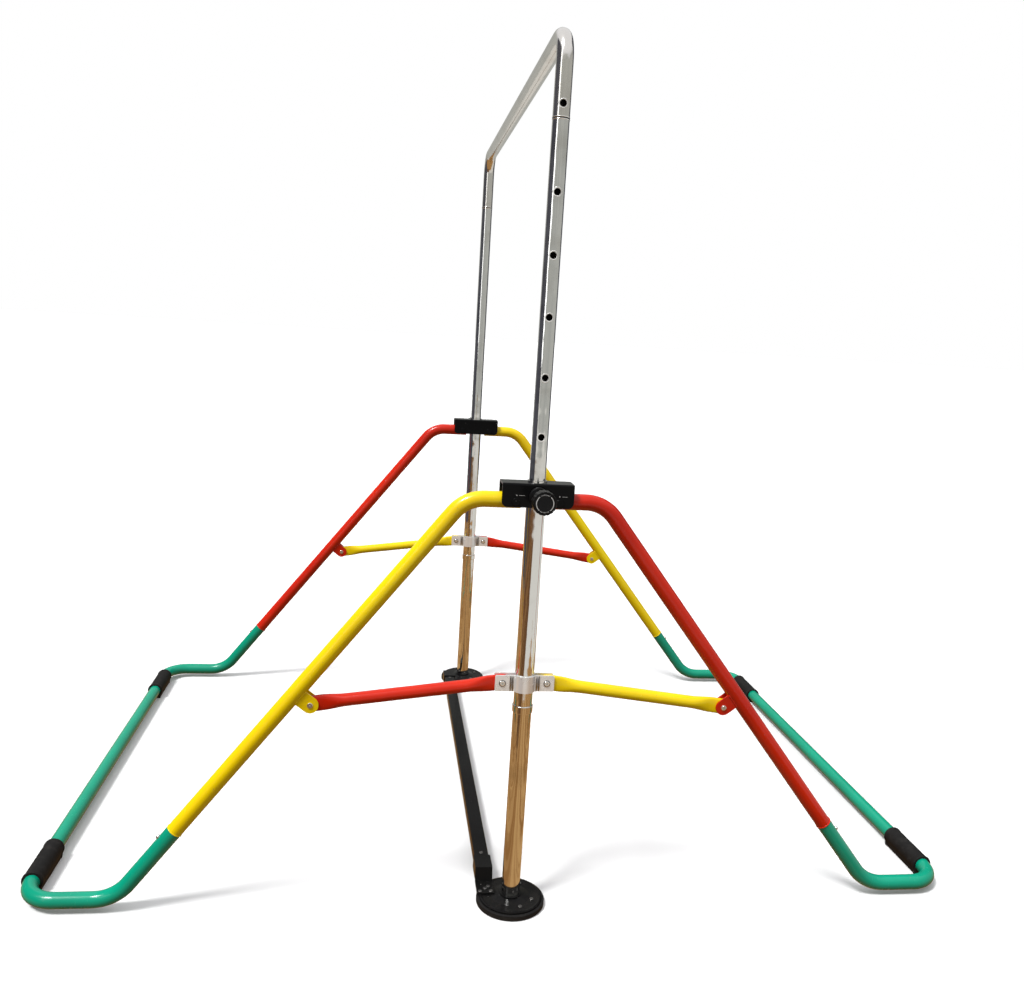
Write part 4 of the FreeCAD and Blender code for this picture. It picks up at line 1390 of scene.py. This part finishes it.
# ---------------------------------------------------------------- studio
@dataclass(frozen=True)
class Card:
    """A flat reflector that only reflections see."""

    name: str
    glow: Glow
    low: Colour
    high: Colour

    def stand(self) -> None:
        """Add the card to the scene."""
        low, high = Vector(self.low), Vector(self.high)
        across = Vector((high.x - low.x, high.y - low.y, 0.0))
        if high.z > low.z:
            middle, up = (low + high) / 2, Vector((0, 0, 1))
            size, rise = across.length, high.z - low.z
            facing = across.normalized().cross(up)
            turn = Matrix((across.normalized(), up, facing)).transposed().to_4x4()
        else:
            middle, size, rise = (low + high) / 2, high.x - low.x, high.y - low.y
            turn = Matrix.Identity(4)
        place = Matrix.Translation(middle) @ turn @ Matrix.Diagonal((size, rise, 1, 1))
        shape = bmesh.new()
        bmesh.ops.create_grid(shape, x_segments=1, y_segments=1, size=0.5, matrix=place)
        card = staged(self.name, shape, self.glow)
        card.visible_camera = False
        card.visible_shadow = False
        card.visible_diffuse = False


def staged(name: str, shape: bmesh.types.BMesh, finish: Finish) -> bpy.types.Object:
    """Add a stage object, which isn't part of the bar.

    Args:
        name: Its name.
        shape: Its shape, in place.
        finish: Its finish.

    Returns:
        The new object.
    """
    mesh = bpy.data.meshes.new(name)
    shape.to_mesh(mesh)
    shape.free()
    mesh.materials.append(finish.material())
    made = bpy.data.objects.new(name, mesh)
    bpy.context.scene.collection.objects.link(made)
    return made


WOOD = Glow("glow_floor_boards", (0.33, 0.155, 0.05), (0.60, 0.35, 0.14), 0.9)
DARK_WOOD = Glow("glow_dark_boards", (0.10, 0.045, 0.02), (0.30, 0.15, 0.06), 0.9)
DARK_WALL = Glow("glow_dark_wall", (0.055, 0.055, 0.068), (0.10, 0.10, 0.115), boards=2.5)
PALE_WALL = Glow("glow_pale_wall", (0.47, 0.47, 0.44), (0.40, 0.405, 0.385), boards=0.6)
PALE_GROUND = Glow("glow_pale_ground", (0.72, 0.70, 0.66))
WINDOW = Glow("glow_window", strength=2.4)
CARDS = (
    Card("ground", PALE_GROUND, (-20.0, -20.0, -0.004), (20.0, 20.0, -0.004)),
    Card("shade_left", DARK_WALL, (-8.0, -0.9, -0.003), (-1.9, 5.0, -0.003)),
    Card("boards_near", DARK_WOOD, (-3.5, -3.6, -0.002), (-0.35, -0.9, -0.002)),
    Card("boards_middle", WOOD, (-1.9, -1.5, -0.003), (1.1, 3.0, -0.003)),
    Card("wall_front", PALE_WALL, (-7.0, -6.5, 0.0), (7.0, -6.5, 5.0)),
    Card("wall_right", PALE_WALL, (6.5, -7.0, 0.0), (6.5, 7.0, 5.0)),
    Card("wall_back", PALE_WALL, (-7.0, 6.5, 0.0), (7.0, 6.5, 5.0)),
    Card("wall_left", DARK_WALL, (-3.2, -2.6, 0.0), (-3.2, 3.5, 4.5)),
    Card("wall_right_edge", DARK_WALL, (3.6, 1.0, 0.0), (2.4, 4.5, 4.5)),
    Card("window_left", WINDOW, (-2.05, -2.30, 0.85), (-2.32, -1.85, 4.0)),
)


@dataclass
class Studio:
    """Pale floor, soft lights and the camera."""

    camera_place: Colour = (-0.2357, -1.9056, 0.9252)
    yaw: float = 8.1
    pitch: float = 10.1
    roll: float = 3.5
    lens: float = 32.82
    floor_size: float = 400.0
    sky: Colour = (0.86, 0.86, 0.88)
    horizon: Colour = (0.25, 0.25, 0.25)
    below: Colour = (0.17, 0.105, 0.045)
    sun_from: Colour = (-1.2, -0.75, 2.3)
    sun_strength: float = 3.1
    sun_size: float = 14.0

    def camera(self) -> None:
        """Set the camera at eye height, near one end of the bar."""
        yaw, pitch, roll = (math.radians(angle) for angle in (self.yaw, self.pitch, self.roll))
        flat = math.cos(pitch)
        ahead = Vector((math.sin(yaw) * flat, math.cos(yaw) * flat, -math.sin(pitch)))
        level = Vector((math.cos(yaw), -math.sin(yaw), 0.0))
        upright = level.cross(ahead)
        right = level * math.cos(roll) + upright * math.sin(roll)
        up = upright * math.cos(roll) - level * math.sin(roll)
        data = bpy.data.cameras.new("camera")
        data.lens = self.lens
        data.sensor_width = 36.0
        data.clip_end = 500.0
        camera = bpy.data.objects.new("camera", data)
        turn = Matrix((right, up, -ahead)).transposed().to_4x4()
        camera.matrix_world = Matrix.Translation(self.camera_place) @ turn
        bpy.context.scene.collection.objects.link(camera)
        bpy.context.scene.camera = camera

    def floor(self) -> None:
        """Lay the floor, which only the camera sees: the cards below it tint the reflections."""
        shape = bmesh.new()
        bmesh.ops.create_grid(shape, x_segments=1, y_segments=1, size=self.floor_size / 2)
        floor = staged("floor", shape, PaleFloor("pale_floor"))
        floor.visible_diffuse = False
        floor.visible_glossy = False

    def surroundings(self) -> None:
        """White background, with a grey room under a bright ceiling for the chrome to mirror."""
        world = bpy.data.worlds.new("studio")
        bpy.context.scene.world = world
        world.use_nodes = True
        graph = Graph(world.node_tree, "Generated")
        seen = graph.node("ShaderNodeLightPath").outputs["Is Camera Ray"]
        tone = graph.mix(graph.step(graph.axis("Z"), 0.10, 0.70), self.horizon, self.sky)
        tone = graph.mix(graph.step(graph.axis("Z"), 0.02, -0.20), tone, self.below)
        room = graph.node("ShaderNodeBackground", None, {"Color": tone, "Strength": 1.0})
        paper = graph.node("ShaderNodeBackground", None, {"Color": (1.0, 1.0, 1.0, 1.0), "Strength": 1.0})
        either = graph.node("ShaderNodeMixShader")
        output = graph.node("ShaderNodeOutputWorld")
        links = ((seen, either.inputs[0]), (room.outputs[0], either.inputs[1]),
                 (paper.outputs[0], either.inputs[2]), (either.outputs[0], output.inputs[0]))
        for source, target in links:
            graph.tree.links.new(source, target)

    def sun(self) -> None:
        """Hang one broad, soft overhead light."""
        lamp = bpy.data.lights.new("ceiling_light", "SUN")
        lamp.energy = self.sun_strength
        lamp.angle = math.radians(self.sun_size)
        light = bpy.data.objects.new("ceiling_light", lamp)
        light.rotation_euler = Vector(self.sun_from).to_track_quat("Z", "Y").to_euler()
        bpy.context.scene.collection.objects.link(light)

    def build(self) -> None:
        """Set up the studio."""
        self.camera()
        self.surroundings()
        self.floor()
        self.sun()
        for card in CARDS:
            card.stand()
        bpy.context.scene.view_settings.view_transform = "Standard"


def main() -> None:
    """Build every sub-assembly in order, and the studio."""
    logging.basicConfig(level=logging.INFO, format="%(name)s: %(message)s")
    Studio().build()
    GripFrame().build()
    StandingFrame().build()
    for end in End:
        LockKnob(end).build()
    Brace(End.NEAR, {Side.LEFT: "red", Side.RIGHT: "yellow"}).build()
    Brace(End.FAR, {Side.LEFT: "yellow", Side.RIGHT: "red"}).build()
    LegFrame(Side.LEFT, {End.NEAR: "yellow", End.FAR: "red"}).build()
    LegFrame(Side.RIGHT, {End.NEAR: "red", End.FAR: "yellow"}).build()


if __name__ == "__main__":
    main()
